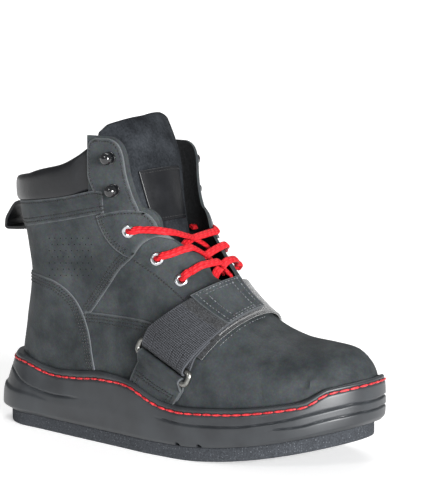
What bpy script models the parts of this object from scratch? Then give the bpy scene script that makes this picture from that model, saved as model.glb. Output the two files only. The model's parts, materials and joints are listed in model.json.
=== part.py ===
"""Right work boot for roofs: a leather lace-up boot on a moulded cup sole with a foam traction pad.

Metres, +Z up. +X points to the toe, -Y is the outer (lateral) side of the foot, and the origin is on the
flat underside of the pad, on its centre line and halfway along it.
"""

from collections import namedtuple
from math import cos, pi, sin

import bmesh
import bpy
import numpy as np
from mathutils import Matrix, Vector

# Driving sizes

PAD_LENGTH = 0.300
BALL_WIDTH = 0.111
PAD_THICKNESS = 0.0098
HEEL_ROUND = 0.034
TOE_ROUND = 0.080
TOE_SPRING = 0.0185
SPRING_START = 0.62
SPRING_POWER = 1.7

SEAT_GAP = 0.0003
FORM_GAP = 0.0014
SEAM_GAP = 0.0006
FEATHER_GAP = 0.0006
WALL_GAP = 0.0012
SOLE_WALL = 0.036
SOLE_BED = 0.024
TOE_RISE = 0.006
TOE_RISE_START = 0.050
TOE_RISE_END = 0.032
CHANNEL_RADIUS = 0.0024
CHANNEL_SHARES = (0.628, 0.688)

LAST_START = 0.0100
LAST_LENGTH = 0.2945
LAST_INSET = 0.0050
SHAFT_WIDTH = 0.106
SHAFT_HEIGHT = 0.170
FOOTBED = 0.0350
UPPER_WALL = 0.0024

INSOLE_THICKNESS = 0.0045
INSOLE_GAP = 0.0024

TONGUE_THICKNESS = 0.0050

LOOP_WIDTH = 0.022
LOOP_REACH = 0.0265
LOOP_RISE = 0.023
LOOP_BASE = 0.612
LOOP_THICKNESS = 0.0022

WIRE_RADIUS = 0.0020
RING_SPAN = 0.0090
RING_CORNER = 0.0030
RING_SLACK = 0.0015
RING_LIFT = 0.0060
FOLD_RADIUS = 0.0040
FOLD_RISE = 0.0080
STRAP_THICKNESS = 0.0030
PATCH_THICKNESS = 0.0020
PATCH_OVERHANG = 0.0010
TAB_THICKNESS = 0.0026

EYELET_HOLE = 0.0033
LACE_WIDTH = 0.0054
LACE_THICKNESS = 0.0022
LACE_RISE = 0.0047
LACE_DIP = 0.0017

LATERAL = -1
MEDIAL = 1
SIDES = {"lateral": LATERAL, "medial": MEDIAL}

# Sections, as shares of the sizes above

OutlineRow = namedtuple("OutlineRow", "along lateral medial")
OUTLINE = (
    OutlineRow(0.00, 0.305, 0.305),
    OutlineRow(0.13, 0.335, 0.335),
    OutlineRow(0.24, 0.383, 0.305),
    OutlineRow(0.36, 0.435, 0.253),
    OutlineRow(0.44, 0.470, 0.270),
    OutlineRow(0.54, 0.512, 0.345),
    OutlineRow(0.65, 0.527, 0.435),
    OutlineRow(0.78, 0.503, 0.490),
    OutlineRow(0.90, 0.485, 0.540),
    OutlineRow(1.00, 0.420, 0.560),
)

# along: share of PAD_LENGTH; wall: share of SOLE_WALL; bed: share of SOLE_BED
SoleRow = namedtuple("SoleRow", "along wall bed")
SOLE = (
    SoleRow(-0.03, 1.165, 1.04),
    SoleRow(0.09, 1.15, 1.03),
    SoleRow(0.13, 1.09, 1.02),
    SoleRow(0.17, 1.02, 1.01),
    SoleRow(0.21, 1.00, 1.00),
    SoleRow(0.29, 1.05, 1.00),
    SoleRow(0.37, 1.13, 1.00),
    SoleRow(0.43, 1.11, 0.97),
    SoleRow(0.48, 1.05, 0.92),
    SoleRow(0.52, 0.93, 0.86),
    SoleRow(0.55, 0.84, 0.79),
    SoleRow(0.58, 0.78, 0.70),
    SoleRow(0.64, 0.742, 0.62),
    SoleRow(0.70, 0.742, 0.60),
    SoleRow(0.77, 0.725, 0.58),
    SoleRow(0.86, 0.708, 0.58),
    SoleRow(0.95, 0.690, 0.58),
    SoleRow(1.03, 0.680, 0.58),
)

# Rings of the side wall from the underside up. height: share of the wall; the rest: metres past the pad's edge
WallRow = namedtuple("WallRow", "height back heel ball toe")
SIDE_WALL = (
    WallRow(0.00, 0.0010, 0.0010, 0.0010, 0.0050),
    WallRow(0.09, 0.0055, 0.0030, 0.0022, 0.0075),
    WallRow(0.30, 0.0050, 0.0028, 0.0026, 0.0080),
    WallRow(0.52, 0.0025, 0.0018, 0.0026, 0.0080),
    WallRow(0.80, -0.0015, 0.0000, 0.0022, 0.0076),
    WallRow(0.96, -0.0040, -0.0010, 0.0012, 0.0066),
    WallRow(1.00, -0.0052, -0.0022, 0.0002, 0.0054),
)
WALL_ZONES = (0.00, 0.22, 0.66, 0.99)

# Side view of the closed form: toe to instep to the shaft's front.
# along: share of LAST_LENGTH; up: share of SHAFT_HEIGHT over FOOTBED; shoulder: metres over which it rounds off
RidgeRow = namedtuple("RidgeRow", "along up shoulder")
RIDGE = (
    RidgeRow(1.012, -0.10, 0.004),
    RidgeRow(1.010, 0.08, 0.006),
    RidgeRow(0.995, 0.155, 0.012),
    RidgeRow(0.966, 0.226, 0.022),
    RidgeRow(0.928, 0.264, 0.032),
    RidgeRow(0.876, 0.272, 0.038),
    RidgeRow(0.815, 0.279, 0.042),
    RidgeRow(0.754, 0.305, 0.045),
    RidgeRow(0.696, 0.353, 0.046),
    RidgeRow(0.645, 0.427, 0.048),
    RidgeRow(0.601, 0.518, 0.050),
    RidgeRow(0.560, 0.618, 0.050),
    RidgeRow(0.530, 0.730, 0.050),
    RidgeRow(0.516, 0.853, 0.050),
    RidgeRow(0.520, 1.000, 0.050),
    RidgeRow(0.520, 1.160, 0.050),
)

# Back of the shaft and its half widths, from the footbed up, as shares of SHAFT_HEIGHT, LAST_LENGTH and SHAFT_WIDTH
ShaftRow = namedtuple("ShaftRow", "up back lateral medial round")
SHAFT = (
    ShaftRow(-0.10, 0.000, 0.330, 0.330, 0.036),
    ShaftRow(0.08, 0.002, 0.335, 0.335, 0.036),
    ShaftRow(0.24, 0.020, 0.340, 0.340, 0.037),
    ShaftRow(0.44, 0.044, 0.358, 0.358, 0.038),
    ShaftRow(0.60, 0.034, 0.385, 0.385, 0.040),
    ShaftRow(0.78, 0.016, 0.412, 0.412, 0.042),
    ShaftRow(0.92, 0.016, 0.425, 0.425, 0.043),
    ShaftRow(1.16, 0.018, 0.430, 0.430, 0.043),
)
BLEND_LOW = 0.08
BLEND_HIGH = 0.42
FADE_BACK = 0.42
FADE_FRONT = 0.64
RIDGE_SHIFT = 0.004

# Side-view edges. FACING: the lace facing and the throat, from the facing's top to above the shaft; drop: how much
# lower the inner side's facing sits. SEAM: where the collar is sewn to the shaft. COLLAR_END: the collar's ends at
# the facings, from the seam up.
SideRow = namedtuple("SideRow", "along up")
FacingRow = namedtuple("FacingRow", "along up drop")
FACING = (
    FacingRow(0.310, 1.068, 0.055),
    FacingRow(0.367, 1.068, 0.055),
    FacingRow(0.398, 1.045, 0.055),
    FacingRow(0.411, 0.994, 0.052),
    FacingRow(0.418, 0.912, 0.050),
    FacingRow(0.431, 0.824, 0.045),
    FacingRow(0.440, 0.788, 0.040),
    FacingRow(0.462, 0.770, 0.040),
    FacingRow(0.478, 0.735, 0.036),
    FacingRow(0.485, 0.691, 0.032),
    FacingRow(0.519, 0.635, 0.024),
    FacingRow(0.557, 0.578, 0.012),
    FacingRow(0.596, 0.492, 0.000),
    FacingRow(0.630, 0.460, 0.000),
    FacingRow(0.665, 0.480, 0.000),
    FacingRow(0.730, 0.560, 0.000),
    FacingRow(0.730, 1.400, 0.000),
    FacingRow(-0.10, 1.400, 0.000),
)
SEAM = (
    SideRow(-0.04, 0.754),
    SideRow(0.00, 0.755),
    SideRow(0.10, 0.770),
    SideRow(0.22, 0.800),
    SideRow(0.32, 0.840),
)
COLLAR_END = (
    SideRow(0.294, 0.83),
    SideRow(0.276, 0.94),
    SideRow(0.280, 1.04),
)
# Height of the collar over its seam, as a share of COLLAR_WIDE
CollarRow = namedtuple("CollarRow", "along wide")
COLLAR = (
    CollarRow(0.00, 0.54),
    CollarRow(0.10, 0.60),
    CollarRow(0.16, 0.68),
    CollarRow(0.22, 0.72),
    CollarRow(0.265, 0.82),
    CollarRow(0.31, 1.00),
)
COLLAR_WIDE = 0.0325
COLLAR_END_GAP = 0.0008
SEAM_POINTS = 8
COLLAR_PROUD = 0.0012
COLLAR_CROWN = 0.0030
COLLAR_DEPTH = 0.0065
COLLAR_POINTS = 5
COLLAR_STATIONS = 13

# Centre of the tongue's outer face, from its base under the vamp to its top
TongueRow = namedtuple("TongueRow", "along up half")
TONGUE = (
    TongueRow(0.690, 0.296, 0.200),
    TongueRow(0.645, 0.355, 0.210),
    TongueRow(0.592, 0.418, 0.220),
    TongueRow(0.538, 0.492, 0.240),
    TongueRow(0.488, 0.570, 0.260),
    TongueRow(0.456, 0.655, 0.285),
    TongueRow(0.437, 0.750, 0.310),
    TongueRow(0.421, 0.853, 0.335),
    TongueRow(0.403, 0.960, 0.375),
    TongueRow(0.379, 1.060, 0.400),
    TongueRow(0.361, 1.118, 0.402),
    TongueRow(0.352, 1.140, 0.375),
)
TONGUE_ARCH = 0.011

# Side view of the pull loop: shares of LOOP_REACH behind the heel and of LOOP_RISE
LoopRow = namedtuple("LoopRow", "out up")
LOOP = (
    LoopRow(0.03, 1.00),
    LoopRow(0.42, 0.92),
    LoopRow(0.74, 0.60),
    LoopRow(0.96, 0.26),
    LoopRow(1.00, 0.08),
    LoopRow(0.90, 0.00),
    LoopRow(0.45, 0.03),
    LoopRow(0.03, 0.12),
)

# The strap's two edges. bar_along, bar_up: the ring's end under that edge; top_along: where the edge crosses the
# ridge; lip_along: where the tab below meets the sole
StrapRow = namedtuple("StrapRow", "bar_along bar_up top_along lip_along")
STRAP = (
    StrapRow(0.495, 0.240, 0.622, 0.440),
    StrapRow(0.628, 0.154, 0.694, 0.578),
)
# Layers along the strap from the ring to the ridge, as shares of the way
StrapLayer = namedtuple("StrapLayer", "share lateral medial")
STRAP_LAYERS = (
    StrapLayer(0.00, 2.0, 2.0),
    StrapLayer(0.20, 2.0, 2.0),
    StrapLayer(0.27, 2.0, 2.0),
    StrapLayer(0.31, 2.0, 1.0),
    StrapLayer(0.45, 2.0, 1.0),
    StrapLayer(0.60, 2.0, 1.0),
    StrapLayer(0.75, 2.0, 1.0),
    StrapLayer(0.86, 2.0, 1.0),
    StrapLayer(0.91, 1.0, 1.0),
)
PATCH_SHARES = (0.49, 0.60, 0.71, 0.82, 0.91)

# Places in the side view; drop: how much lower the inner side's one sits
HoleRow = namedtuple("HoleRow", "along up drop")
HOOKS = (HoleRow(0.374, 0.981, 0.050), HoleRow(0.382, 0.850, 0.044))
EYELETS = (
    HoleRow(0.415, 0.684, 0.032),
    HoleRow(0.483, 0.575, 0.020),
    HoleRow(0.546, 0.496, 0.004),
)

# Radius and height over the leather, in metres
HOOK_PROFILE = (
    (0.0000, 0.0094),
    (0.0023, 0.0089),
    (0.0040, 0.0073),
    (0.0044, 0.0055),
    (0.0036, 0.0034),
    (0.0021, 0.0024),
    (0.0024, 0.0015),
    (0.0046, 0.0011),
    (0.0046, 0.0003),
    (0.0000, 0.0003),
)
EYELET_PROFILE = (
    (0.0020, 0.0009),
    (0.0034, 0.0013),
    (0.0048, 0.0004),
    (0.0030, 0.0003),
    (0.0030, -0.0026),
    (0.0020, -0.0026),
    (0.0020, 0.0009),
)

# Each lace from the outer side's eyelet over the facing and across the throat. across: share of half SHAFT_WIDTH
LacePoint = namedtuple("LacePoint", "along across up")
LACES = (
    (
        LacePoint(0.562, -0.51, 0.529),
        LacePoint(0.578, -0.38, 0.553),
        LacePoint(0.586, -0.26, 0.558),
        LacePoint(0.590, -0.12, 0.560),
        LacePoint(0.587, 0.00, 0.540),
        LacePoint(0.584, 0.08, 0.520),
    ),
    (
        LacePoint(0.515, -0.60, 0.598),
        LacePoint(0.532, -0.49, 0.613),
        LacePoint(0.547, -0.39, 0.622),
        LacePoint(0.545, -0.26, 0.610),
        LacePoint(0.540, -0.10, 0.590),
        LacePoint(0.535, 0.07, 0.567),
        LacePoint(0.531, 0.20, 0.545),
    ),
    (
        LacePoint(0.446, -0.74, 0.693),
        LacePoint(0.469, -0.68, 0.693),
        LacePoint(0.495, -0.58, 0.687),
        LacePoint(0.502, -0.42, 0.678),
        LacePoint(0.502, -0.23, 0.662),
        LacePoint(0.497, 0.00, 0.643),
        LacePoint(0.501, 0.19, 0.616),
        LacePoint(0.505, 0.30, 0.595),
    ),
)
# The eyelet that each of those laces leaves
LACE_EYELETS = (2, 1, 0)

# Mesh density

PAD_ROWS = 30
SOLE_ROWS = 30
CUP_LEVELS = (1.0, 0.7, 0.35, 0.0)
SHAFT_LINES = 6
BACK_LINES = 7
ARCH_LINES = 12
FOOT_LINES = 12
LINE_POINTS = 14
STRAP_LINES = 6
RIM_STEPS = 12
TONGUE_SECTIONS = 16
TONGUE_POINTS = 9
WIRE_SIDES = 8
LACE_STEPS = 12

# Where the upper's lines begin to turn about the instep, as shares of SHAFT_HEIGHT and PAD_LENGTH
TURN_TOP = 0.74
TURN_TOE = 0.72


def smooth_steps(known, values, wanted):
    """Monotone cubic through the table's rows: no overshoot between them."""
    known, values = np.asarray(known, float), np.asarray(values, float)
    step = np.diff(known)
    slope = np.diff(values) / step
    tangent = np.zeros_like(values)
    same_way = slope[1:] * slope[:-1] > 0
    mean = 2 * slope[1:] * slope[:-1] / np.where(same_way, slope[1:] + slope[:-1], 1)
    tangent[1:-1] = np.where(same_way, mean, 0)
    tangent[0], tangent[-1] = slope[0], slope[-1]
    at = np.clip(np.asarray(wanted, float), known[0], known[-1])
    k = np.clip(np.searchsorted(known, at, side="right") - 1, 0, len(step) - 1)
    t = (at - known[k]) / step[k]
    return (
        values[k] * (1 + 2 * t) * (1 - t) ** 2
        + tangent[k] * step[k] * t * (1 - t) ** 2
        + values[k + 1] * t**2 * (3 - 2 * t)
        + tangent[k + 1] * step[k] * t**2 * (t - 1)
    )


def column(rows, name):
    return [getattr(row, name) for row in rows]


def ease(low, high, value):
    t = np.clip((value - low) / (high - low), 0, 1)
    return t * t * (3 - 2 * t)


def rounding(depth, radius):
    """Square of a quarter ellipse: 0 at the edge, 1 from the radius inwards, below 0 outside."""
    t = np.minimum(depth / radius, 1)
    return 2 * t - t * t


# Pad and sole outline


def spring(x):
    share = (x / PAD_LENGTH + 0.5 - SPRING_START) / (1 - SPRING_START)
    return TOE_SPRING * np.clip(share, 0, None) ** SPRING_POWER


def grow(rows, grown):
    """Matched lateral and medial rows moved out along their loop's normal."""
    count = len(rows[0])
    loop = np.vstack([rows[0], rows[1][-2:0:-1]])
    tangent = np.roll(loop, -1, axis=0) - np.roll(loop, 1, axis=0)
    normal = np.column_stack([tangent[:, 1], -tangent[:, 0]])
    normal /= np.linalg.norm(normal, axis=1)[:, None]
    more = np.broadcast_to(grown, count)
    loop = loop + normal * np.concatenate([more, more[-2:0:-1]])[:, None]
    return [loop[:count], np.vstack([loop[:1], loop[: count - 2 : -1]])]


def outline(count, grown=0.0):
    """Two matched rows of points, lateral and medial, from heel to toe."""
    along = row_shares(count)
    x = (along - 0.5) * PAD_LENGTH
    ends = rounding(along * PAD_LENGTH, HEEL_ROUND) * rounding((1 - along) * PAD_LENGTH, TOE_ROUND)
    half = BALL_WIDTH * np.sqrt(np.clip(ends, 0, None))
    rows = []
    for name, side in SIDES.items():
        y = side * half * smooth_steps(column(OUTLINE, "along"), column(OUTLINE, name), along)
        rows.append(np.column_stack([x, y]))
    return grow(rows, grown)


def row_shares(count):
    return (1 - np.cos(np.linspace(0, pi, count))) / 2


def underside(x):
    return spring(x) + PAD_THICKNESS + SEAT_GAP


def sole_size(name, x):
    return smooth_steps(column(SOLE, "along"), column(SOLE, name), x / PAD_LENGTH + 0.5)


def lip(x, y):
    """Height of the side wall's top edge, which steps up round the toe."""
    from_toe = np.hypot(x - TOE_X, y)
    rise = TOE_RISE * (1 - ease(TOE_RISE_END, TOE_RISE_START, from_toe))
    return underside(x) + SOLE_WALL * sole_size("wall", x) + rise


def bed(x):
    """Height of the cup's floor, which the upper and the insole rest on."""
    return underside(x) + SOLE_BED * sole_size("bed", x)


# The form that the upper is drawn over


def ridge_curve(count=160):
    rows = np.array([(r.along * LAST_LENGTH, r.up * SHAFT_HEIGHT, r.shoulder) for r in RIDGE])
    run = np.concatenate([[0], np.cumsum(np.hypot(*np.diff(rows[:, :2], axis=0).T))])
    at = np.linspace(0, run[-1], count)
    x, z, shoulder = (smooth_steps(run, rows[:, k], at) for k in range(3))
    return x + LAST_START - PAD_LENGTH / 2, z + FOOTBED, shoulder


RIDGE_X, RIDGE_Z, RIDGE_SHOULDER = ridge_curve()
BACK_X = LAST_START - PAD_LENGTH / 2
TOE_X = BACK_X + LAST_LENGTH


def under_ridge(x, z):
    """Square of the share of the full half width that is left this near the ridge."""
    ax, az = RIDGE_X[:-1], RIDGE_Z[:-1]
    dx, dz = np.diff(RIDGE_X), np.diff(RIDGE_Z)
    px, pz = np.asarray(x)[..., None] - ax, np.asarray(z)[..., None] - az
    t = np.clip((px * dx + pz * dz) / (dx * dx + dz * dz), 0, 1)
    away = np.hypot(px - t * dx, pz - t * dz)
    k = np.argmin(away, axis=-1)[..., None]
    near = np.take_along_axis(away, k, -1)[..., 0]
    inside = np.take_along_axis(dx * pz - dz * px, k, -1)[..., 0] > 0
    shoulder = RIDGE_SHOULDER[k[..., 0]]
    return rounding(np.where(inside, near, -near), shoulder)


def shaft(name, z):
    return smooth_steps(column(SHAFT, "up"), column(SHAFT, name), (z - FOOTBED) / SHAFT_HEIGHT)


def back_of(z):
    return shaft("back", z) * LAST_LENGTH + LAST_START - PAD_LENGTH / 2


def front_of(z):
    """Where the toe's front is at a height."""
    rising = RIDGE_Z[: np.argmax(RIDGE_X < TOE_X - TOE_ROUND / 2)]
    return np.minimum(np.interp(z, rising, RIDGE_X[: len(rising)]), TOE_X)


def half_squared(x, z, side):
    """Square of the form's half width at a point of the side view, below 0 outside it."""
    x, z = np.broadcast_arrays(np.asarray(x, float), np.asarray(z, float))
    back = back_of(z)
    along = (x - back) / (TOE_X - back)
    name = "lateral" if side == LATERAL else "medial"
    up = (z - FOOTBED) / SHAFT_HEIGHT
    foot = smooth_steps(column(OUTLINE, "along"), column(OUTLINE, name), along)
    shaft_share = ease(BLEND_LOW, BLEND_HIGH, up) * (1 - ease(FADE_BACK, FADE_FRONT, along))
    foot = foot * BALL_WIDTH - LAST_INSET
    width = foot + (shaft(name, z) * SHAFT_WIDTH - foot) * shaft_share
    ends = np.stack([under_ridge(x, z), rounding(x - back, shaft("round", z)), rounding(TOE_X - x, TOE_ROUND)])
    return width**2 * np.where(ends.min(axis=0) < 0, -np.abs(ends.prod(axis=0)), ends.prod(axis=0))


def shifted(x, z):
    """The ridge of the foot leans to the inner side."""
    share = np.clip(under_ridge(x, z), 0, 1)
    foot = ease(FADE_BACK, FADE_FRONT, np.asarray(x) / LAST_LENGTH + 0.5)
    return RIDGE_SHIFT * foot * (1 - np.sqrt(share))


def surface(x, z, side):
    y = shifted(x, z) + side * np.sqrt(np.clip(half_squared(x, z, side), 0, None))
    return np.stack(np.broadcast_arrays(x, y, z), axis=-1)


def normals(points, side):
    """Outward normals of the form, from the slope of y squared less the half width squared."""
    step = 2e-4

    def level(p):
        return (p[..., 1] - shifted(p[..., 0], p[..., 2])) ** 2 - half_squared(p[..., 0], p[..., 2], side)

    slopes = []
    for axis in range(3):
        move = np.zeros(3)
        move[axis] = step
        slopes.append(level(points + move) - level(points - move))
    slopes = np.stack(slopes, axis=-1)
    return slopes / np.maximum(np.linalg.norm(slopes, axis=-1, keepdims=True), 1e-12)


def lifted(x, z, side, lift):
    """Points at a height over the form."""
    points = surface(x, z, side)
    return points + normals(points, side) * np.asarray(lift)[..., None]


# Meshes


def material(name, colour, roughness, metallic=0.0):
    made = bpy.data.materials.new(name)
    made.use_nodes = True
    shader = made.node_tree.nodes["Principled BSDF"]
    shader.inputs["Base Color"].default_value = (*colour, 1)
    shader.inputs["Roughness"].default_value = roughness
    shader.inputs["Metallic"].default_value = metallic
    made.diffuse_color = (*colour, 1)
    return made


def place(name, mesh, finish, collection):
    made = bpy.data.objects.new(name, mesh)
    made.data.materials.append(finish)
    collection.objects.link(made)
    return made


def mesh_of(name, points, faces):
    """A closed mesh with its doubles merged and its faces turned out."""
    built = bmesh.new()
    corners = [built.verts.new(p) for p in np.asarray(points).reshape(-1, 3)]
    for face in faces:
        try:
            built.faces.new([corners[k] for k in face])
        except ValueError:
            continue
    bmesh.ops.remove_doubles(built, verts=built.verts, dist=1e-6)
    bmesh.ops.dissolve_degenerate(built, edges=built.edges, dist=1e-6)
    bmesh.ops.recalc_face_normals(built, faces=built.faces)
    mesh = bpy.data.meshes.new(name)
    built.to_mesh(mesh)
    built.free()
    mesh.shade_smooth()
    return mesh


def loft(name, sections, capped=True, closed=True):
    """Quads between sections of equal count; closed joins each section's ends, capped fills the first and last."""
    sections = np.asarray(sections)
    rows, count = sections.shape[:2]
    faces = []
    for r in range(rows - 1):
        for k in range(count if closed else count - 1):
            a, b = r * count + k, r * count + (k + 1) % count
            faces.append((a, b, b + count, a + count))
    if capped:
        for start in (0, (rows - 1) * count):
            for k in range(count // 2 - 1):
                a, b = start + k, start + count - 1 - k
                faces.append((a, a + 1, b - 1, b))
    return mesh_of(name, sections, faces)


def stack(name, levels):
    """A solid from matched lateral and medial rows: walls between the levels, ladders over the first and last."""
    count = len(levels[0][0])
    rings = [np.vstack([lateral, medial[::-1]]) for lateral, medial in levels]
    size = 2 * count
    faces = []
    for r in range(len(rings) - 1):
        for k in range(size):
            a, b = r * size + k, r * size + (k + 1) % size
            faces.append((a, b, b + size, a + size))
    for r in (0, len(rings) - 1):
        for k in range(count - 1):
            a, b = r * size + k, r * size + size - 1 - k
            faces.append((a, a + 1, b - 1, b))
    return mesh_of(name, np.array(rings), faces)


def turned(name, profile, steps, finish, collection, matrix):
    """A profile turned round its axis, from the top down its outer side."""
    mesh = bpy.data.meshes.new(name)
    mesh.from_pydata([(r, 0, h) for r, h in profile], [(k, k + 1) for k in range(len(profile) - 1)], [])
    made = place(name, mesh, finish, collection)
    screw = made.modifiers.new("Turn", "SCREW")
    screw.steps = screw.render_steps = steps
    screw.use_merge_vertices = True
    screw.merge_threshold = 1e-5
    made.matrix_world = matrix
    return made


def prism(name, outline_xz, near, far, collection):
    """A side-view outline pushed from one y to another, as a cutter."""
    built = bmesh.new()
    face = built.faces.new([built.verts.new((x, near, z)) for x, z in outline_xz])
    grown = bmesh.ops.extrude_face_region(built, geom=[face])
    corners = [part for part in grown["geom"] if isinstance(part, bmesh.types.BMVert)]
    bmesh.ops.translate(built, verts=corners, vec=(0, far - near, 0))
    bmesh.ops.recalc_face_normals(built, faces=built.faces)
    mesh = bpy.data.meshes.new(name)
    built.to_mesh(mesh)
    built.free()
    return cutter(name, mesh, collection)


def cutter(name, mesh, collection):
    made = bpy.data.objects.new(name, mesh)
    made.hide_render = True
    made.display_type = "WIRE"
    collection.objects.link(made)
    return made


def cut(target, tool, operation="DIFFERENCE"):
    boolean = target.modifiers.new(operation.title(), "BOOLEAN")
    boolean.operation = operation
    boolean.object = tool


def rod(name, radius, depth, segments, matrix):
    built = bmesh.new()
    bmesh.ops.create_cone(
        built, cap_ends=True, segments=segments, radius1=radius, radius2=radius, depth=depth, matrix=matrix
    )
    mesh = bpy.data.meshes.new(name)
    built.to_mesh(mesh)
    built.free()
    return mesh


def seat(row, side):
    """The form's place and outward direction at a row of the side view."""
    x, z = side_row(row, side)
    point = surface(x, z, side)
    turn = Vector(normals(point, side)).to_track_quat("Z", "Y").to_matrix().to_4x4()
    return Matrix.Translation(Vector(point)) @ turn


# The pieces of the sole


def raised(row, heights):
    return np.column_stack([row, np.broadcast_to(heights, len(row))])


def make_pad(finish, collection):
    rows = outline(PAD_ROWS)
    levels = []
    for height in (0, PAD_THICKNESS):
        levels.append([raised(row, spring(row[:, 0]) + height) for row in rows])
    return place("traction_pad", stack("traction_pad", levels), finish, collection)


def form_rows(count, level, grown):
    """Matched rows round the upper's form where it crosses a level, moved out by grown."""
    share = row_shares(count)
    rows = []
    for side in SIDES.values():
        x = (share - 0.5) * PAD_LENGTH
        y = np.zeros(count)
        for _ in range(6):
            z = level(x, y)
            x = back_of(z) + (front_of(z) - back_of(z)) * share
            y = surface(x, z, side)[:, 1]
        rows.append(np.column_stack([x, y]))
    heights = [level(row[:, 0], row[:, 1]) for row in rows]
    return [raised(row, z) for row, z in zip(grow(rows, grown), heights)]


def above_bed(height):
    """A level at a height over the cup's floor."""
    return lambda x, y: bed(x) + height


def up_wall(share):
    """A level at a share of the way from the cup's floor to its lip."""
    return lambda x, y: bed(x) + (lip(x, y) - bed(x)) * share


def make_outsole(finish, collection, tools):
    share = row_shares(SOLE_ROWS)
    levels = []
    for row in SIDE_WALL:
        grown = smooth_steps(WALL_ZONES, (row.back, row.heel, row.ball, row.toe), share)
        ring = []
        for base in outline(SOLE_ROWS, grown):
            x, y = base.T
            low = underside(x)
            ring.append(raised(base, low + (lip(x, y) - low) * row.height))
        levels.append(ring)
    for level_share in CUP_LEVELS:
        levels.append(form_rows(SOLE_ROWS, up_wall(level_share), WALL_GAP))
    made = place("outsole", stack("outsole", levels), finish, collection)
    for k, at in enumerate(CHANNEL_SHARES):
        x = (at - 0.5) * PAD_LENGTH
        turn = Matrix.Translation((x, 0, underside(x))) @ Matrix.Rotation(pi / 2, 4, "X")
        mesh = rod(f"flex_channel_{k + 1}", CHANNEL_RADIUS, BALL_WIDTH * 1.5, 10, turn)
        cut(made, cutter(mesh.name, mesh, tools))
    return made


def make_insole(finish, collection):
    inset = -(UPPER_WALL + INSOLE_GAP)
    levels = []
    for height in (SEAT_GAP, SEAT_GAP + INSOLE_THICKNESS):
        levels.append(form_rows(SOLE_ROWS, above_bed(height), inset))
    return place("insole", stack("insole", levels), finish, collection)


# The upper


def feather(x):
    return bed(x) + FEATHER_GAP


def fan_lines(shaft_lines, back_lines, arch_lines, foot_lines):
    """Lines of the side view, each from the back or the bottom edge to the ridge.

    They lie level in the shaft, turn about the instep and stand upright in the foot. The last column says how
    far a line's low end is rounded off too, as it is on the back.
    """
    turn_top = FOOTBED + TURN_TOP * SHAFT_HEIGHT
    turn_toe = (TURN_TOE - 0.5) * PAD_LENGTH
    first = np.argmin(np.abs(RIDGE_Z - turn_top) + (RIDGE_X > turn_toe))
    last = np.argmin(np.abs(RIDGE_X - turn_toe) + (RIDGE_Z < FOOTBED))
    lines = []
    for z in np.linspace(RIDGE_Z[-1], turn_top, shaft_lines, endpoint=False):
        lines.append((back_of(z), z, np.interp(z, RIDGE_Z[first:], RIDGE_X[first:]), z, 1.0))
    heel_z = feather(back_of(FOOTBED))
    heel_x = back_of(heel_z)
    lows = [(back_of(z), z, 1.0) for z in np.linspace(turn_top, heel_z, back_lines, endpoint=False)]
    for share in np.linspace(0, 1, arch_lines, endpoint=False):
        x = heel_x + (turn_toe - heel_x) * (1 - cos(share * pi / 2))
        lows.append((x, feather(x), 1 - ease(0, HEEL_ROUND, x - heel_x)))
    for k, (low_x, low_z, both) in zip(np.linspace(first, last, len(lows), endpoint=False), lows):
        high = [np.interp(k, np.arange(len(RIDGE_X)), ridge) for ridge in (RIDGE_X, RIDGE_Z)]
        lines.append((low_x, low_z, *high, both))
    foot_x, foot_z = RIDGE_X[last::-1], RIDGE_Z[last::-1]
    for share in np.linspace(0, 1, foot_lines):
        x = turn_toe + (TOE_X - turn_toe) * sin(share * pi / 2)
        lines.append((x, feather(x), x, np.interp(x, foot_x, foot_z), 0.0))
    return lines


def form_sections(lines, count):
    """Each line's points up the lateral side and down the medial one."""
    s = np.linspace(0, 1, count)
    sections = []
    for low_x, low_z, high_x, high_z, both in lines:
        t = (1 - both) * np.sin(s * pi / 2) + both * (1 - np.cos(s * pi)) / 2
        x, z = low_x + (high_x - low_x) * t, low_z + (high_z - low_z) * t
        sections.append(np.vstack([surface(x, z, LATERAL), surface(x, z, MEDIAL)[::-1]]))
    return sections


def side_points(rows):
    """A table's rows as points of the side view."""
    return [
        (r.along * LAST_LENGTH + LAST_START - PAD_LENGTH / 2, r.up * SHAFT_HEIGHT + FOOTBED) for r in rows
    ]


def seam_height(x):
    seam = np.array(side_points(SEAM))
    return smooth_steps(seam[:, 0], seam[:, 1], x)


def collar_height(x):
    wide = smooth_steps(column(COLLAR, "along"), column(COLLAR, "wide"), (x - BACK_X) / LAST_LENGTH)
    return wide * COLLAR_WIDE


def collar_end(share):
    """The collar's front end at a share of its width."""
    ends = np.array(side_points(COLLAR_END))[:, 0]
    x = smooth_steps(np.linspace(0, 1, len(ends)), ends, share)
    return x, seam_height(x) + share * collar_height(x)


def side_row(row, side):
    """A point of the side view, lower on the inner side by the row's drop."""
    drop = row.drop if side == MEDIAL else 0
    return row.along * LAST_LENGTH + BACK_X, (row.up - drop) * SHAFT_HEIGHT + FOOTBED


def opening_outline(side):
    """Collar, lace facing and throat in the side view, closed round above the shaft."""
    first_x, _ = collar_end(0)
    seam_x = np.linspace(BACK_X - COLLAR_WIDE, first_x + COLLAR_END_GAP, SEAM_POINTS)
    rear_x, rear_z = collar_end(np.linspace(0, 1, SEAM_POINTS)[1:])
    points = list(zip(seam_x, seam_height(seam_x)))
    points += list(zip(rear_x + COLLAR_END_GAP, rear_z))
    return points + [side_row(row, side) for row in FACING]


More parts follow.
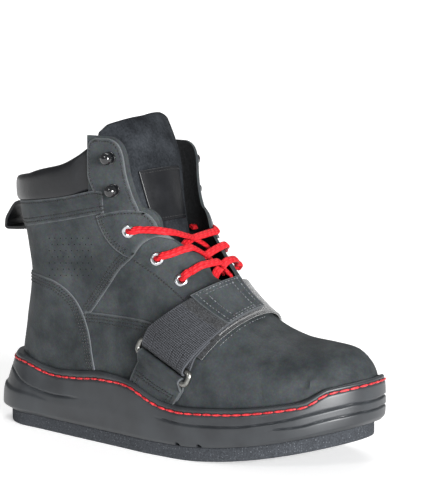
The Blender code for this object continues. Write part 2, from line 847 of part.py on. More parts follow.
def make_upper(finish, collection, tools):
    lines = fan_lines(SHAFT_LINES, BACK_LINES, ARCH_LINES, FOOT_LINES)
    mesh = loft("upper", form_sections(lines, LINE_POINTS), capped=False, closed=False)
    made = place("upper", mesh, finish, collection)
    wall = made.modifiers.new("Leather", "SOLIDIFY")
    wall.thickness = UPPER_WALL
    wall.offset = -1
    for name, side in SIDES.items():
        near, far = sorted((-side * UPPER_WALL, side * SHAFT_WIDTH))
        cut(made, prism(f"opening_{name}", opening_outline(side), near, far, tools))
        for k, row in enumerate(EYELETS):
            mesh = rod(f"hole_{name}_{k + 1}", EYELET_HOLE, 10 * UPPER_WALL, 12, seat(row, side))
            cut(made, cutter(mesh.name, mesh, tools))
    return made


def make_collar(finish, collection):
    """A padded band round the back of the shaft, from one lace facing to the other."""
    share = np.linspace(0, 1, COLLAR_POINTS)
    profile = [(f, COLLAR_PROUD + COLLAR_CROWN * sin(f * pi)) for f in share]
    profile += [(f, -COLLAR_DEPTH) for f in share[::-1]]
    sections = []
    turn = np.linspace(0, pi, COLLAR_STATIONS)
    for side, angles in ((LATERAL, turn), (MEDIAL, turn[::-1][1:])):
        for angle in angles:
            section = []
            for f, lift in profile:
                end_x, z = collar_end(f)
                for _ in range(3):
                    x = back_of(z) + (end_x - back_of(z)) * (1 + cos(angle)) / 2
                    z = seam_height(x) + SEAM_GAP + f * (collar_height(x) - SEAM_GAP)
                section.append(lifted(x, z, side, lift))
            sections.append(section)
    return place("collar", loft("collar", sections), finish, collection)


def make_tongue(finish, collection):
    centre = np.array(side_points(TONGUE))
    run = np.concatenate([[0], np.cumsum(np.hypot(*np.diff(centre, axis=0).T))])
    at = np.linspace(0, run[-1], TONGUE_SECTIONS)
    x, z = (smooth_steps(run, centre[:, k], at) for k in range(2))
    half = smooth_steps(run, column(TONGUE, "half"), at) * SHAFT_WIDTH
    slope = np.column_stack([np.gradient(x, at), np.gradient(z, at)])
    slope /= np.linalg.norm(slope, axis=1)[:, None]
    inward = np.column_stack([-slope[:, 1], slope[:, 0]])
    across = np.linspace(-1, 1, TONGUE_POINTS)
    sections = []
    for k in range(TONGUE_SECTIONS):
        section = []
        for depth, row in ((0, across), (TONGUE_THICKNESS, across[::-1])):
            for u in row:
                back = TONGUE_ARCH * u * u + depth
                section.append((x[k] + inward[k, 0] * back, u * half[k], z[k] + inward[k, 1] * back))
        sections.append(section)
    return place("tongue", loft("tongue", sections), finish, collection)


# Pieces on the outside of the upper


def make_pull_loop(finish, collection):
    rows = np.array(LOOP)
    z = FOOTBED + LOOP_BASE * SHAFT_HEIGHT + rows[:, 1] * LOOP_RISE
    path = np.column_stack([back_of(z) - rows[:, 0] * LOOP_REACH, z])
    run = np.gradient(path, axis=0)
    run /= np.linalg.norm(run, axis=1)[:, None]
    inner = path + np.column_stack([-run[:, 1], run[:, 0]]) * LOOP_THICKNESS
    sections = []
    for y in (-LOOP_WIDTH / 2, LOOP_WIDTH / 2):
        section = np.vstack([path, inner[::-1]])
        sections.append(np.column_stack([section[:, 0], np.full(len(section), y), section[:, 1]]))
    return place("pull_loop", loft("pull_loop", sections), finish, collection)


def ridge_height(x):
    foot = slice(np.argmin(RIDGE_X), None, -1)
    return np.interp(x, RIDGE_X[foot], RIDGE_Z[foot])


class Ring:
    """The straight bar under one end of the strap: its ends, and the directions along it, up the strap and out."""

    def __init__(self, side):
        ends = []
        for row in STRAP:
            x, z = row.bar_along * LAST_LENGTH + BACK_X, row.bar_up * SHAFT_HEIGHT + FOOTBED
            ends.append(lifted(x, z, side, RING_LIFT))
        self.side = side
        self.first, self.last = ends
        self.width = np.linalg.norm(self.last - self.first)
        self.along = (self.last - self.first) / self.width
        middle = (self.first + self.last) / 2
        out = normals(surface(middle[0], middle[2], side), side)
        out -= self.along * (out @ self.along)
        self.out = out / np.linalg.norm(out)
        up = np.cross(self.along, self.out)
        self.up = up if up[2] > 0 else -up

    def point(self, share, up=0.0, out=0.0):
        return self.first + (self.last - self.first) * share + self.up * up + self.out * out

    def fold(self, share, down, way):
        """Outer and inner points round a bar, from the fold's tip on; way 1 folds over from above."""
        outer, inner = [], []
        for angle in (20, 55, 90):
            a = angle * pi / 180
            reach = -way * FOLD_RADIUS * cos(a) - down
            outer.append(self.point(share, reach, FOLD_RADIUS * sin(a)))
            inner.append(self.point(share, reach, -FOLD_RADIUS * sin(a)))
        return outer, inner


def strap_line(ring, share):
    """Low and high side-view points of one line along the strap, from above the ring to the ridge."""
    bar = ring.point(share, FOLD_RISE)
    top = STRAP[0].top_along + (STRAP[1].top_along - STRAP[0].top_along) * share
    x = top * LAST_LENGTH + BACK_X
    return np.array([bar[0], bar[2]]), np.array([x, ridge_height(x)])


def on_strap(ring, share, way, lift):
    low, high = strap_line(ring, share)
    x, z = low + (high - low) * sin(way * pi / 2)
    return lifted(x, z, ring.side, lift)


def make_strap(rings, finish, collection, tools):
    sections = []
    for share in np.linspace(0, 1, STRAP_LINES):
        outer, inner = [], []
        for ring, name in zip(rings, SIDES):
            over, under = ring.fold(share, 0, 1)
            for layer in STRAP_LAYERS:
                thick = getattr(layer, name) * STRAP_THICKNESS
                over.append(on_strap(ring, share, layer.share, FORM_GAP + thick))
                under.append(on_strap(ring, share, layer.share, FORM_GAP))
            if ring.side == LATERAL:
                outer, inner = over, under
            else:
                outer, inner = outer + over[::-1], inner + under[::-1]
        sections.append(outer + inner[::-1])
    made = place("strap", loft("strap", sections), finish, collection)
    for ring, name in zip(rings, SIDES):
        cut(made, bar_hole(f"strap_hole_{name}", ring, 0, tools))
    return made


def bar_hole(name, ring, down, tools):
    turn = Vector(ring.along).to_track_quat("Z", "Y").to_matrix().to_4x4()
    matrix = Matrix.Translation(Vector(ring.point(0.5, -down))) @ turn
    return cutter(name, rod(name, WIRE_RADIUS + WALL_GAP / 2, ring.width * 1.5, 10, matrix), tools)


def make_patch(ring, finish, collection):
    over = PATCH_OVERHANG / ring.width
    low = FORM_GAP + STRAP_THICKNESS * 2 + SEAM_GAP
    sections = []
    for share in np.linspace(-over, 1 + over, STRAP_LINES):
        outer = [on_strap(ring, share, way, low + PATCH_THICKNESS) for way in PATCH_SHARES]
        inner = [on_strap(ring, share, way, low) for way in PATCH_SHARES]
        sections.append(outer + inner[::-1])
    return place("strap_patch", loft("strap_patch", sections), finish, collection)


def make_tab(name, ring, finish, collection, tools):
    """A leather tab from the sole's lip up round the lower bar."""
    sections = []
    for share in np.linspace(0, 1, STRAP_LINES):
        outer, inner = ring.fold(share, RING_SPAN, -1)
        bar = ring.point(share, -RING_SPAN - FOLD_RISE)
        along = STRAP[0].lip_along + (STRAP[1].lip_along - STRAP[0].lip_along) * share
        x = along * LAST_LENGTH + BACK_X
        foot = np.array([x, lip(x, 0) + FORM_GAP + WALL_GAP])
        for way in (0, 0.33, 0.67, 1.0):
            px, pz = np.array([bar[0], bar[2]]) * (1 - way) + foot * way
            outer.append(lifted(px, pz, ring.side, FORM_GAP + TAB_THICKNESS))
            inner.append(lifted(px, pz, ring.side, FORM_GAP))
        sections.append(outer + inner[::-1])
    made = place(name, loft(name, sections), finish, collection)
    cut(made, bar_hole(f"{name}_hole", ring, RING_SPAN, tools))
    return made


def wire_path(ring):
    """A rounded rectangle round the two folds."""
    path = []
    for share, up, start in ((1, 0, 0), (1, -RING_SPAN, -90), (0, -RING_SPAN, -180), (0, 0, -270)):
        end = 1 if share else -1
        low = up + (RING_CORNER if up else -RING_CORNER)
        corner = ring.point(share, low) + ring.along * end * RING_SLACK
        for turn in (90, 45, 0):
            a = (start + turn) * pi / 180
            path.append(corner + (ring.along * cos(a) + ring.up * sin(a)) * RING_CORNER)
    return np.array(path)


def tube(name, path, across, width, height, sides, closed):
    """An oval swept along a path; across gives the wide way at each point."""
    path = np.asarray(path)
    if closed:
        run = np.roll(path, -1, axis=0) - np.roll(path, 1, axis=0)
    else:
        run = np.gradient(path, axis=0)
    run /= np.linalg.norm(run, axis=1)[:, None]
    wide = across - run * (across * run).sum(axis=1)[:, None]
    wide /= np.linalg.norm(wide, axis=1)[:, None]
    high = np.cross(run, wide)
    turn = np.arange(sides) * 2 * pi / sides + pi / sides
    rings = []
    for p, w, h in zip(path, wide, high):
        rings.append(p + np.outer(np.cos(turn), w * width / 2) + np.outer(np.sin(turn), h * height / 2))
    if closed:
        rings.append(rings[0])
    return loft(name, rings, capped=not closed)


def make_ring(name, ring, finish, collection):
    path = wire_path(ring)
    across = np.broadcast_to(ring.out, path.shape)
    size = 2 * WIRE_RADIUS
    return place(name, tube(name, path, across, size, size, WIRE_SIDES, True), finish, collection)


def lace_path(eyelet, rows, lower):
    """One lace from the outer side's eyelet; lower sinks it where the two cross."""
    x, z = side_row(eyelet, LATERAL)
    points = [lifted(x, z, LATERAL, LACE_RISE)]
    for p in rows:
        points.append((p.along * LAST_LENGTH + BACK_X, p.across * SHAFT_WIDTH / 2, p.up * SHAFT_HEIGHT + FOOTBED))
    points = np.array(points)
    far = np.concatenate([[0], np.cumsum(np.linalg.norm(np.diff(points, axis=0), axis=1))])
    at = np.linspace(0, far[-1], LACE_STEPS)
    path = np.column_stack([smooth_steps(far, points[:, k], at) for k in range(3)])
    centre = np.exp(-((path[:, 1] / (LACE_WIDTH * 1.2)) ** 2))
    return path - np.outer(centre * lower, (0.6, 0, 0.8))


def make_lace(name, eyelet, rows, finish, collection, tools):
    """Two laces that cross, the inner side's one under the outer side's."""
    pieces = []
    for side in (LATERAL, MEDIAL):
        path = lace_path(eyelet, rows, LACE_DIP if side == MEDIAL else 0)
        out = np.array([0.6, 0, 0.8]) + np.outer(path[:, 1] / SHAFT_WIDTH, (0, 1.6, 0))
        path, out = path * (1, -side, 1), out * (1, -side, 1)
        if side == MEDIAL:
            path[:, 2] -= np.interp(path[:, 1], (0, SHAFT_WIDTH / 4), (0, eyelet.drop * SHAFT_HEIGHT))
        across = np.cross(out, np.gradient(path, axis=0))
        pieces.append(tube(f"{name}_{side}", path, across, LACE_WIDTH, LACE_THICKNESS, WIRE_SIDES, False))
    made = place(name, pieces[0], finish, collection)
    cut(made, cutter(f"{name}_under", pieces[1], tools), "UNION")
    return made


def main():
    for old in list(bpy.data.objects):
        bpy.data.objects.remove(old, do_unlink=True)
    scene = bpy.context.scene
    parts = bpy.data.collections.new("work_boot")
    tools = bpy.data.collections.new("cutters")
    scene.collection.children.link(parts)
    scene.collection.children.link(tools)
    foam = material("foam_rubber", (0.035, 0.036, 0.040), 0.95)
    rubber = material("moulded_rubber", (0.055, 0.058, 0.062), 0.55)
    leather = material("oiled_leather", (0.045, 0.048, 0.050), 0.75)
    smooth_leather = material("smooth_leather", (0.010, 0.010, 0.012), 0.35)
    lining = material("footbed_cloth", (0.030, 0.030, 0.032), 0.95)
    webbing = material("ribbed_webbing", (0.060, 0.065, 0.070), 0.90)
    pewter = material("dark_pewter", (0.30, 0.31, 0.32), 0.35, 1.0)
    nickel = material("bright_nickel", (0.65, 0.66, 0.68), 0.25, 1.0)
    gloss_black = material("black_enamel", (0.010, 0.010, 0.011), 0.15)
    braid = material("red_braid", (0.60, 0.02, 0.02), 0.80)
    make_pad(foam, parts)
    make_outsole(rubber, parts, tools)
    make_insole(lining, parts)
    make_upper(leather, parts, tools)
    make_collar(smooth_leather, parts)
    make_tongue(leather, parts)
    make_pull_loop(smooth_leather, parts)
    rings = [Ring(side) for side in SIDES.values()]
    make_strap(rings, webbing, parts, tools)
    make_patch(rings[0], leather, parts)
    for name, side in SIDES.items():
        ring = rings[0] if side == LATERAL else rings[1]
        make_tab(f"ring_tab_{name}", ring, leather, parts, tools)
        make_ring(f"ring_{name}", ring, pewter, parts)
        for k, row in enumerate(HOOKS):
            turned(f"hook_{name}_{k + 1}", HOOK_PROFILE, RIM_STEPS, gloss_black, parts, seat(row, side))
        for k, row in enumerate(EYELETS):
            turned(f"eyelet_{name}_{k + 1}", EYELET_PROFILE, RIM_STEPS, nickel, parts, seat(row, side))
    for k, rows in enumerate(LACES):
        make_lace(f"lace_cross_{k + 1}", EYELETS[LACE_EYELETS[k]], rows, braid, parts, tools)


if __name__ == "__main__":
    main()
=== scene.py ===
"""Right work boot for roofs, finished over its packed frame: leather, webbing, rubber, foam, braid and metal.

Metres, +Z up. +X points to the toe, -Y is the outer (lateral) side of the foot, and the floor is at 0.
"""

import json
from collections import namedtuple
from math import cos, pi, radians, sin

import bmesh
import bpy
import numpy as np
from mathutils import Matrix, Vector, noise
from mathutils.geometry import delaunay_2d_cdt

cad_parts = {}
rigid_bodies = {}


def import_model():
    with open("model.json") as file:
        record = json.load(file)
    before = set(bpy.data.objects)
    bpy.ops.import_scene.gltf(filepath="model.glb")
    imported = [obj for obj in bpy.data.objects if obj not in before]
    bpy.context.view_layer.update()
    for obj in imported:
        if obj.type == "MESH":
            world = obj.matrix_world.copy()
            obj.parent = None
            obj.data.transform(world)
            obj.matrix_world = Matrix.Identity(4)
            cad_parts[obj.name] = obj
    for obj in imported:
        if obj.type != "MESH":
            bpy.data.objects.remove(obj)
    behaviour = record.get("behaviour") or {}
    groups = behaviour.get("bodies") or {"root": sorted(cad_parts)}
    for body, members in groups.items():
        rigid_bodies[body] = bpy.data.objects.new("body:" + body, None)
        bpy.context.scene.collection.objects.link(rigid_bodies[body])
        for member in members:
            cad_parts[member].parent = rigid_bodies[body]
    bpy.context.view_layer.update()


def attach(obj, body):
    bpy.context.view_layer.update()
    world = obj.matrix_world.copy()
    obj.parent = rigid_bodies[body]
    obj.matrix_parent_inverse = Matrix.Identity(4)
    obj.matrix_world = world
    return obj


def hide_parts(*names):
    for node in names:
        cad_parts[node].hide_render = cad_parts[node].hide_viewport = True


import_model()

bl_info = {
    "name": "Roofing Work Boot",
    "version": (1, 0, 0),
    "blender": (4, 5, 0),
    "location": "3D View > Sidebar > Boot",
    "description": "Builds the leather, sole, strap, laces and metal of a roofing work boot",
    "category": "Add Mesh",
}


def table(names, *rows):
    """Rows of numbers that are read by name."""
    row_of = namedtuple("Row", names)
    return tuple(row_of(*row) for row in rows)


# Driving sizes

PAD_LENGTH = 0.300
BALL_WIDTH = 0.111
PAD_THICKNESS = 0.0098
HEEL_ROUND = 0.034
TOE_ROUND = 0.080
TOE_SPRING = 0.0185
SPRING_START = 0.62
SPRING_POWER = 1.7

SEAT_GAP = 0.0003
FEATHER_GAP = 0.0006
WALL_GAP = 0.0012
SOLE_WALL = 0.036
SOLE_BED = 0.024
TOE_RISE = 0.006
TOE_RISE_START = 0.050
TOE_RISE_END = 0.032
CHANNEL_RADIUS = 0.0024
CHANNEL_SHARES = (0.628, 0.688)

LAST_START = 0.0100
LAST_LENGTH = 0.2945
LAST_INSET = 0.0050
SHAFT_WIDTH = 0.106
SHAFT_HEIGHT = 0.170
FOOTBED = 0.0350
UPPER_WALL = 0.0024

INSOLE_THICKNESS = 0.0045
INSOLE_GAP = 0.0024

TONGUE_THICKNESS = 0.0050

LOOP_WIDTH = 0.022
LOOP_REACH = 0.0265
LOOP_RISE = 0.023
LOOP_BASE = 0.612
LOOP_THICKNESS = 0.0022

WIRE_RADIUS = 0.0020
RING_SPAN = 0.0090
RING_CORNER = 0.0030
RING_SLACK = 0.0015
RING_LIFT = 0.0060
FOLD_RISE = 0.0080

EYELET_HOLE = 0.0033
LACE_WIDTH = 0.0054
LACE_DIP = 0.0017

LATERAL = -1
MEDIAL = 1
SIDES = {"lateral": LATERAL, "medial": MEDIAL}

# Sections, as shares of the sizes above

OUTLINE = table(
    "along lateral medial",
    (0.00, 0.305, 0.305), (0.13, 0.335, 0.335), (0.24, 0.383, 0.305), (0.36, 0.435, 0.253),
    (0.44, 0.470, 0.270), (0.54, 0.512, 0.345), (0.65, 0.527, 0.435), (0.78, 0.503, 0.490),
    (0.90, 0.485, 0.540), (1.00, 0.420, 0.560),
)

# along: share of PAD_LENGTH; wall: share of SOLE_WALL; bed: share of SOLE_BED
SOLE = table(
    "along wall bed",
    (-0.03, 1.165, 1.04), (0.09, 1.15, 1.03), (0.13, 1.09, 1.02), (0.17, 1.02, 1.01),
    (0.21, 1.00, 1.00), (0.29, 1.05, 1.00), (0.37, 1.13, 1.00), (0.43, 1.11, 0.97),
    (0.48, 1.05, 0.92), (0.52, 0.93, 0.86), (0.55, 0.84, 0.79), (0.58, 0.78, 0.70),
    (0.64, 0.742, 0.62), (0.70, 0.742, 0.60), (0.77, 0.725, 0.58), (0.86, 0.708, 0.58),
    (0.95, 0.690, 0.58), (1.03, 0.680, 0.58),
)

# Rings of the side wall from the underside up. height: share of the wall; the rest: metres past the pad's
# edge
SIDE_WALL = table(
    "height back heel ball toe",
    (0.00, 0.0010, 0.0010, 0.0010, 0.0050), (0.09, 0.0055, 0.0030, 0.0022, 0.0075),
    (0.30, 0.0050, 0.0028, 0.0026, 0.0080), (0.52, 0.0025, 0.0018, 0.0026, 0.0080),
    (0.80, -0.0015, 0.0000, 0.0022, 0.0076), (0.96, -0.0040, -0.0010, 0.0012, 0.0066),
    (1.00, -0.0052, -0.0022, 0.0002, 0.0054),
)
WALL_ZONES = (0.00, 0.22, 0.66, 0.99)

# Side view of the closed form: toe to instep to the shaft's front. along: share of LAST_LENGTH; up: share
# of SHAFT_HEIGHT over FOOTBED; shoulder: metres over which it rounds off
RIDGE = table(
    "along up shoulder",
    (1.012, -0.10, 0.004), (1.010, 0.08, 0.006), (0.995, 0.155, 0.012), (0.966, 0.226, 0.022),
    (0.928, 0.264, 0.032), (0.876, 0.272, 0.038), (0.815, 0.279, 0.042), (0.754, 0.305, 0.045),
    (0.696, 0.353, 0.046), (0.645, 0.427, 0.048), (0.601, 0.518, 0.050), (0.560, 0.618, 0.050),
    (0.530, 0.730, 0.050), (0.516, 0.853, 0.050), (0.520, 1.000, 0.050), (0.520, 1.160, 0.050),
)

# Back of the shaft and its half widths, from the footbed up, as shares of SHAFT_HEIGHT, LAST_LENGTH and
# SHAFT_WIDTH
SHAFT = table(
    "up back lateral medial round",
    (-0.10, 0.000, 0.330, 0.330, 0.036), (0.08, 0.002, 0.335, 0.335, 0.036),
    (0.24, 0.020, 0.340, 0.340, 0.037), (0.44, 0.044, 0.358, 0.358, 0.038),
    (0.60, 0.034, 0.385, 0.385, 0.040), (0.78, 0.016, 0.412, 0.412, 0.042),
    (0.92, 0.016, 0.425, 0.425, 0.043), (1.16, 0.018, 0.430, 0.430, 0.043),
)
BLEND_LOW = 0.08
BLEND_HIGH = 0.42
FADE_BACK = 0.42
FADE_FRONT = 0.64
RIDGE_SHIFT = 0.004

# Side-view edges. FACING: the lace facing and the throat, from the facing's top to above the shaft; drop:
# how much lower the inner side's facing sits. SEAM: where the collar is sewn to the shaft.
FACING = table(
    "along up drop",
    (0.310, 1.068, 0.055), (0.367, 1.068, 0.055), (0.398, 1.045, 0.055), (0.411, 0.994, 0.052),
    (0.418, 0.912, 0.050), (0.431, 0.824, 0.045), (0.440, 0.788, 0.040), (0.462, 0.770, 0.040),
    (0.478, 0.735, 0.036), (0.485, 0.691, 0.032), (0.519, 0.635, 0.024), (0.557, 0.578, 0.012),
    (0.596, 0.492, 0.000), (0.630, 0.460, 0.000), (0.665, 0.480, 0.000), (0.730, 0.560, 0.000),
    (0.730, 1.400, 0.000), (-0.10, 1.400, 0.000),
)
SEAM = table(
    "along up",
    (-0.04, 0.754), (0.00, 0.755), (0.10, 0.770), (0.22, 0.800), (0.32, 0.840),
)
# Height of the collar over its seam, as a share of COLLAR_WIDE
COLLAR = table(
    "along wide",
    (0.00, 0.54), (0.10, 0.60), (0.16, 0.68), (0.22, 0.72), (0.265, 0.82), (0.31, 1.00),
)
COLLAR_WIDE = 0.0325

# Centre of the tongue's outer face, from its base under the vamp to its top
TONGUE = table(
    "along up half",
    (0.690, 0.296, 0.200), (0.645, 0.355, 0.210), (0.592, 0.418, 0.220), (0.538, 0.492, 0.240),
    (0.488, 0.570, 0.260), (0.456, 0.655, 0.285), (0.437, 0.750, 0.310), (0.421, 0.853, 0.335),
    (0.403, 0.960, 0.375), (0.379, 1.060, 0.400), (0.361, 1.118, 0.402), (0.352, 1.140, 0.375),
)
TONGUE_ARCH = 0.011

# Side view of the pull loop: shares of LOOP_REACH behind the heel and of LOOP_RISE
LOOP = table(
    "out up",
    (0.03, 1.00), (0.42, 0.92), (0.74, 0.60), (0.96, 0.26), (1.00, 0.08), (0.90, 0.00),
    (0.45, 0.03), (0.03, 0.12),
)

# The strap's two edges. bar_along, bar_up: the ring's end under that edge; top_along: where the edge
# crosses the ridge; lip_along: where the tab below meets the sole
STRAP = table(
    "bar_along bar_up top_along lip_along",
    (0.495, 0.240, 0.622, 0.440), (0.628, 0.154, 0.694, 0.578),
)

# Places in the side view; drop: how much lower the inner side's one sits
HOOKS = table("along up drop", (0.374, 0.981, 0.050), (0.382, 0.850, 0.044))
EYELETS = table(
    "along up drop",
    (0.415, 0.684, 0.032), (0.483, 0.575, 0.020), (0.546, 0.496, 0.004),
)

# Radius and height over the leather, in metres
HOOK_PROFILE = (
    (0.0000, 0.0094),
    (0.0023, 0.0089),
    (0.0040, 0.0073),
    (0.0044, 0.0055),
    (0.0036, 0.0034),
    (0.0021, 0.0024),
    (0.0024, 0.0015),
    (0.0046, 0.0011),
    (0.0046, 0.0003),
    (0.0000, 0.0003),
)
EYELET_PROFILE = (
    (0.0020, 0.0009),
    (0.0034, 0.0013),
    (0.0048, 0.0004),
    (0.0030, 0.0003),
    (0.0030, -0.0026),
    (0.0020, -0.0026),
    (0.0020, 0.0009),
)

# Each lace from the outer side's eyelet over the facing and across the throat. across: share of half
# SHAFT_WIDTH
LACES = (
    table(
        "along across up",
        (0.562, -0.51, 0.529), (0.578, -0.38, 0.553), (0.586, -0.26, 0.558), (0.590, -0.12, 0.560),
        (0.587, 0.00, 0.540), (0.584, 0.08, 0.520),
    ),
    table(
        "along across up",
        (0.515, -0.60, 0.598), (0.532, -0.49, 0.613), (0.547, -0.39, 0.622), (0.545, -0.26, 0.610),
        (0.540, -0.10, 0.590), (0.535, 0.07, 0.567), (0.531, 0.20, 0.545),
    ),
    table(
        "along across up",
        (0.446, -0.74, 0.693), (0.469, -0.68, 0.693), (0.495, -0.58, 0.687), (0.502, -0.42, 0.678),
        (0.502, -0.23, 0.662), (0.497, 0.00, 0.643), (0.501, 0.19, 0.616), (0.505, 0.30, 0.595),
    ),
)
# The eyelet that each of those laces leaves
LACE_EYELETS = (2, 1, 0)

# The form: the same functions as the frame was drawn with


def smooth_steps(known, values, wanted):
    """Monotone cubic through the table's rows: no overshoot between them."""
    known, values = np.asarray(known, float), np.asarray(values, float)
    step = np.diff(known)
    slope = np.diff(values) / step
    tangent = np.zeros_like(values)
    same_way = slope[1:] * slope[:-1] > 0
    mean = 2 * slope[1:] * slope[:-1] / np.where(same_way, slope[1:] + slope[:-1], 1)
    tangent[1:-1] = np.where(same_way, mean, 0)
    tangent[0], tangent[-1] = slope[0], slope[-1]
    at = np.clip(np.asarray(wanted, float), known[0], known[-1])
    k = np.clip(np.searchsorted(known, at, side="right") - 1, 0, len(step) - 1)
    t = (at - known[k]) / step[k]
    return (
        values[k] * (1 + 2 * t) * (1 - t) ** 2
        + tangent[k] * step[k] * t * (1 - t) ** 2
        + values[k + 1] * t**2 * (3 - 2 * t)
        + tangent[k + 1] * step[k] * t**2 * (t - 1)
    )


def column(rows, name):
    return [getattr(row, name) for row in rows]


def ease(low, high, value):
    t = np.clip((value - low) / (high - low), 0, 1)
    return t * t * (3 - 2 * t)


def rounding(depth, radius):
    """Square of a quarter ellipse: 0 at the edge, 1 from the radius inwards, below 0 outside."""
    t = np.minimum(depth / radius, 1)
    return 2 * t - t * t


# Pad and sole outline


def spring(x):
    share = (x / PAD_LENGTH + 0.5 - SPRING_START) / (1 - SPRING_START)
    return TOE_SPRING * np.clip(share, 0, None) ** SPRING_POWER


def grow(rows, grown):
    """Matched lateral and medial rows moved out along their loop's normal."""
    count = len(rows[0])
    loop = np.vstack([rows[0], rows[1][-2:0:-1]])
    tangent = np.roll(loop, -1, axis=0) - np.roll(loop, 1, axis=0)
    normal = np.column_stack([tangent[:, 1], -tangent[:, 0]])
    normal /= np.linalg.norm(normal, axis=1)[:, None]
    more = np.broadcast_to(grown, count)
    loop = loop + normal * np.concatenate([more, more[-2:0:-1]])[:, None]
    return [loop[:count], np.vstack([loop[:1], loop[: count - 2 : -1]])]


def outline(count, grown=0.0):
    """Two matched rows of points, lateral and medial, from heel to toe."""
    along = row_shares(count)
    x = (along - 0.5) * PAD_LENGTH
    ends = rounding(along * PAD_LENGTH, HEEL_ROUND) * rounding((1 - along) * PAD_LENGTH, TOE_ROUND)
    half = BALL_WIDTH * np.sqrt(np.clip(ends, 0, None))
    rows = []
    for name, side in SIDES.items():
        y = side * half * smooth_steps(column(OUTLINE, "along"), column(OUTLINE, name), along)
        rows.append(np.column_stack([x, y]))
    return grow(rows, grown)


def row_shares(count):
    return (1 - np.cos(np.linspace(0, pi, count))) / 2


def underside(x):
    return spring(x) + PAD_THICKNESS + SEAT_GAP


def sole_size(name, x):
    return smooth_steps(column(SOLE, "along"), column(SOLE, name), x / PAD_LENGTH + 0.5)


def lip(x, y):
    """Height of the side wall's top edge, which steps up round the toe."""
    from_toe = np.hypot(x - TOE_X, y)
    rise = TOE_RISE * (1 - ease(TOE_RISE_END, TOE_RISE_START, from_toe))
    return underside(x) + SOLE_WALL * sole_size("wall", x) + rise


def bed(x):
    """Height of the cup's floor, which the upper and the insole rest on."""
    return underside(x) + SOLE_BED * sole_size("bed", x)


# The form that the upper is drawn over


def ridge_curve(count=160):
    rows = np.array([(r.along * LAST_LENGTH, r.up * SHAFT_HEIGHT, r.shoulder) for r in RIDGE])
    run = np.concatenate([[0], np.cumsum(np.hypot(*np.diff(rows[:, :2], axis=0).T))])
    at = np.linspace(0, run[-1], count)
    x, z, shoulder = (smooth_steps(run, rows[:, k], at) for k in range(3))
    return x + LAST_START - PAD_LENGTH / 2, z + FOOTBED, shoulder


RIDGE_X, RIDGE_Z, RIDGE_SHOULDER = ridge_curve()
BACK_X = LAST_START - PAD_LENGTH / 2
TOE_X = BACK_X + LAST_LENGTH


def under_ridge(x, z):
    """Square of the share of the full half width that is left this near the ridge."""
    ax, az = RIDGE_X[:-1], RIDGE_Z[:-1]
    dx, dz = np.diff(RIDGE_X), np.diff(RIDGE_Z)
    px, pz = np.asarray(x)[..., None] - ax, np.asarray(z)[..., None] - az
    t = np.clip((px * dx + pz * dz) / (dx * dx + dz * dz), 0, 1)
    away = np.hypot(px - t * dx, pz - t * dz)
    k = np.argmin(away, axis=-1)[..., None]
    near = np.take_along_axis(away, k, -1)[..., 0]
    inside = np.take_along_axis(dx * pz - dz * px, k, -1)[..., 0] > 0
    shoulder = RIDGE_SHOULDER[k[..., 0]]
    return rounding(np.where(inside, near, -near), shoulder)


def shaft(name, z):
    return smooth_steps(column(SHAFT, "up"), column(SHAFT, name), (z - FOOTBED) / SHAFT_HEIGHT)


def back_of(z):
    return shaft("back", z) * LAST_LENGTH + LAST_START - PAD_LENGTH / 2


def front_of(z):
    """Where the toe's front is at a height."""
    rising = RIDGE_Z[: np.argmax(RIDGE_X < TOE_X - TOE_ROUND / 2)]
    return np.minimum(np.interp(z, rising, RIDGE_X[: len(rising)]), TOE_X)


def half_squared(x, z, side):
    """Square of the form's half width at a point of the side view, below 0 outside it."""
    x, z = np.broadcast_arrays(np.asarray(x, float), np.asarray(z, float))
    back = back_of(z)
    along = (x - back) / (TOE_X - back)
    name = "lateral" if side == LATERAL else "medial"
    up = (z - FOOTBED) / SHAFT_HEIGHT
    foot = smooth_steps(column(OUTLINE, "along"), column(OUTLINE, name), along)
    shaft_share = ease(BLEND_LOW, BLEND_HIGH, up) * (1 - ease(FADE_BACK, FADE_FRONT, along))
    foot = foot * BALL_WIDTH - LAST_INSET
    width = foot + (shaft(name, z) * SHAFT_WIDTH - foot) * shaft_share
    ends = np.stack(
        [under_ridge(x, z), rounding(x - back, shaft("round", z)), rounding(TOE_X - x, TOE_ROUND)]
    )
    return width**2 * np.where(ends.min(axis=0) < 0, -np.abs(ends.prod(axis=0)), ends.prod(axis=0))


def shifted(x, z):
    """The ridge of the foot leans to the inner side."""
    share = np.clip(under_ridge(x, z), 0, 1)
    foot = ease(FADE_BACK, FADE_FRONT, np.asarray(x) / LAST_LENGTH + 0.5)
    return RIDGE_SHIFT * foot * (1 - np.sqrt(share))


def surface(x, z, side):
    y = shifted(x, z) + side * np.sqrt(np.clip(half_squared(x, z, side), 0, None))
    return np.stack(np.broadcast_arrays(x, y, z), axis=-1)


def normals(points, side):
    """Outward normals of the form, from the slope of y squared less the half width squared."""
    step = 2e-4

    def level(p):
        return (p[..., 1] - shifted(p[..., 0], p[..., 2])) ** 2 - half_squared(p[..., 0], p[..., 2], side)

    slopes = []
    for axis in range(3):
        move = np.zeros(3)
        move[axis] = step
        slopes.append(level(points + move) - level(points - move))
    slopes = np.stack(slopes, axis=-1)
    return slopes / np.maximum(np.linalg.norm(slopes, axis=-1, keepdims=True), 1e-12)


def lifted(x, z, side, lift):
    """Points at a height over the form."""
    points = surface(x, z, side)
    return points + normals(points, side) * np.asarray(lift)[..., None]


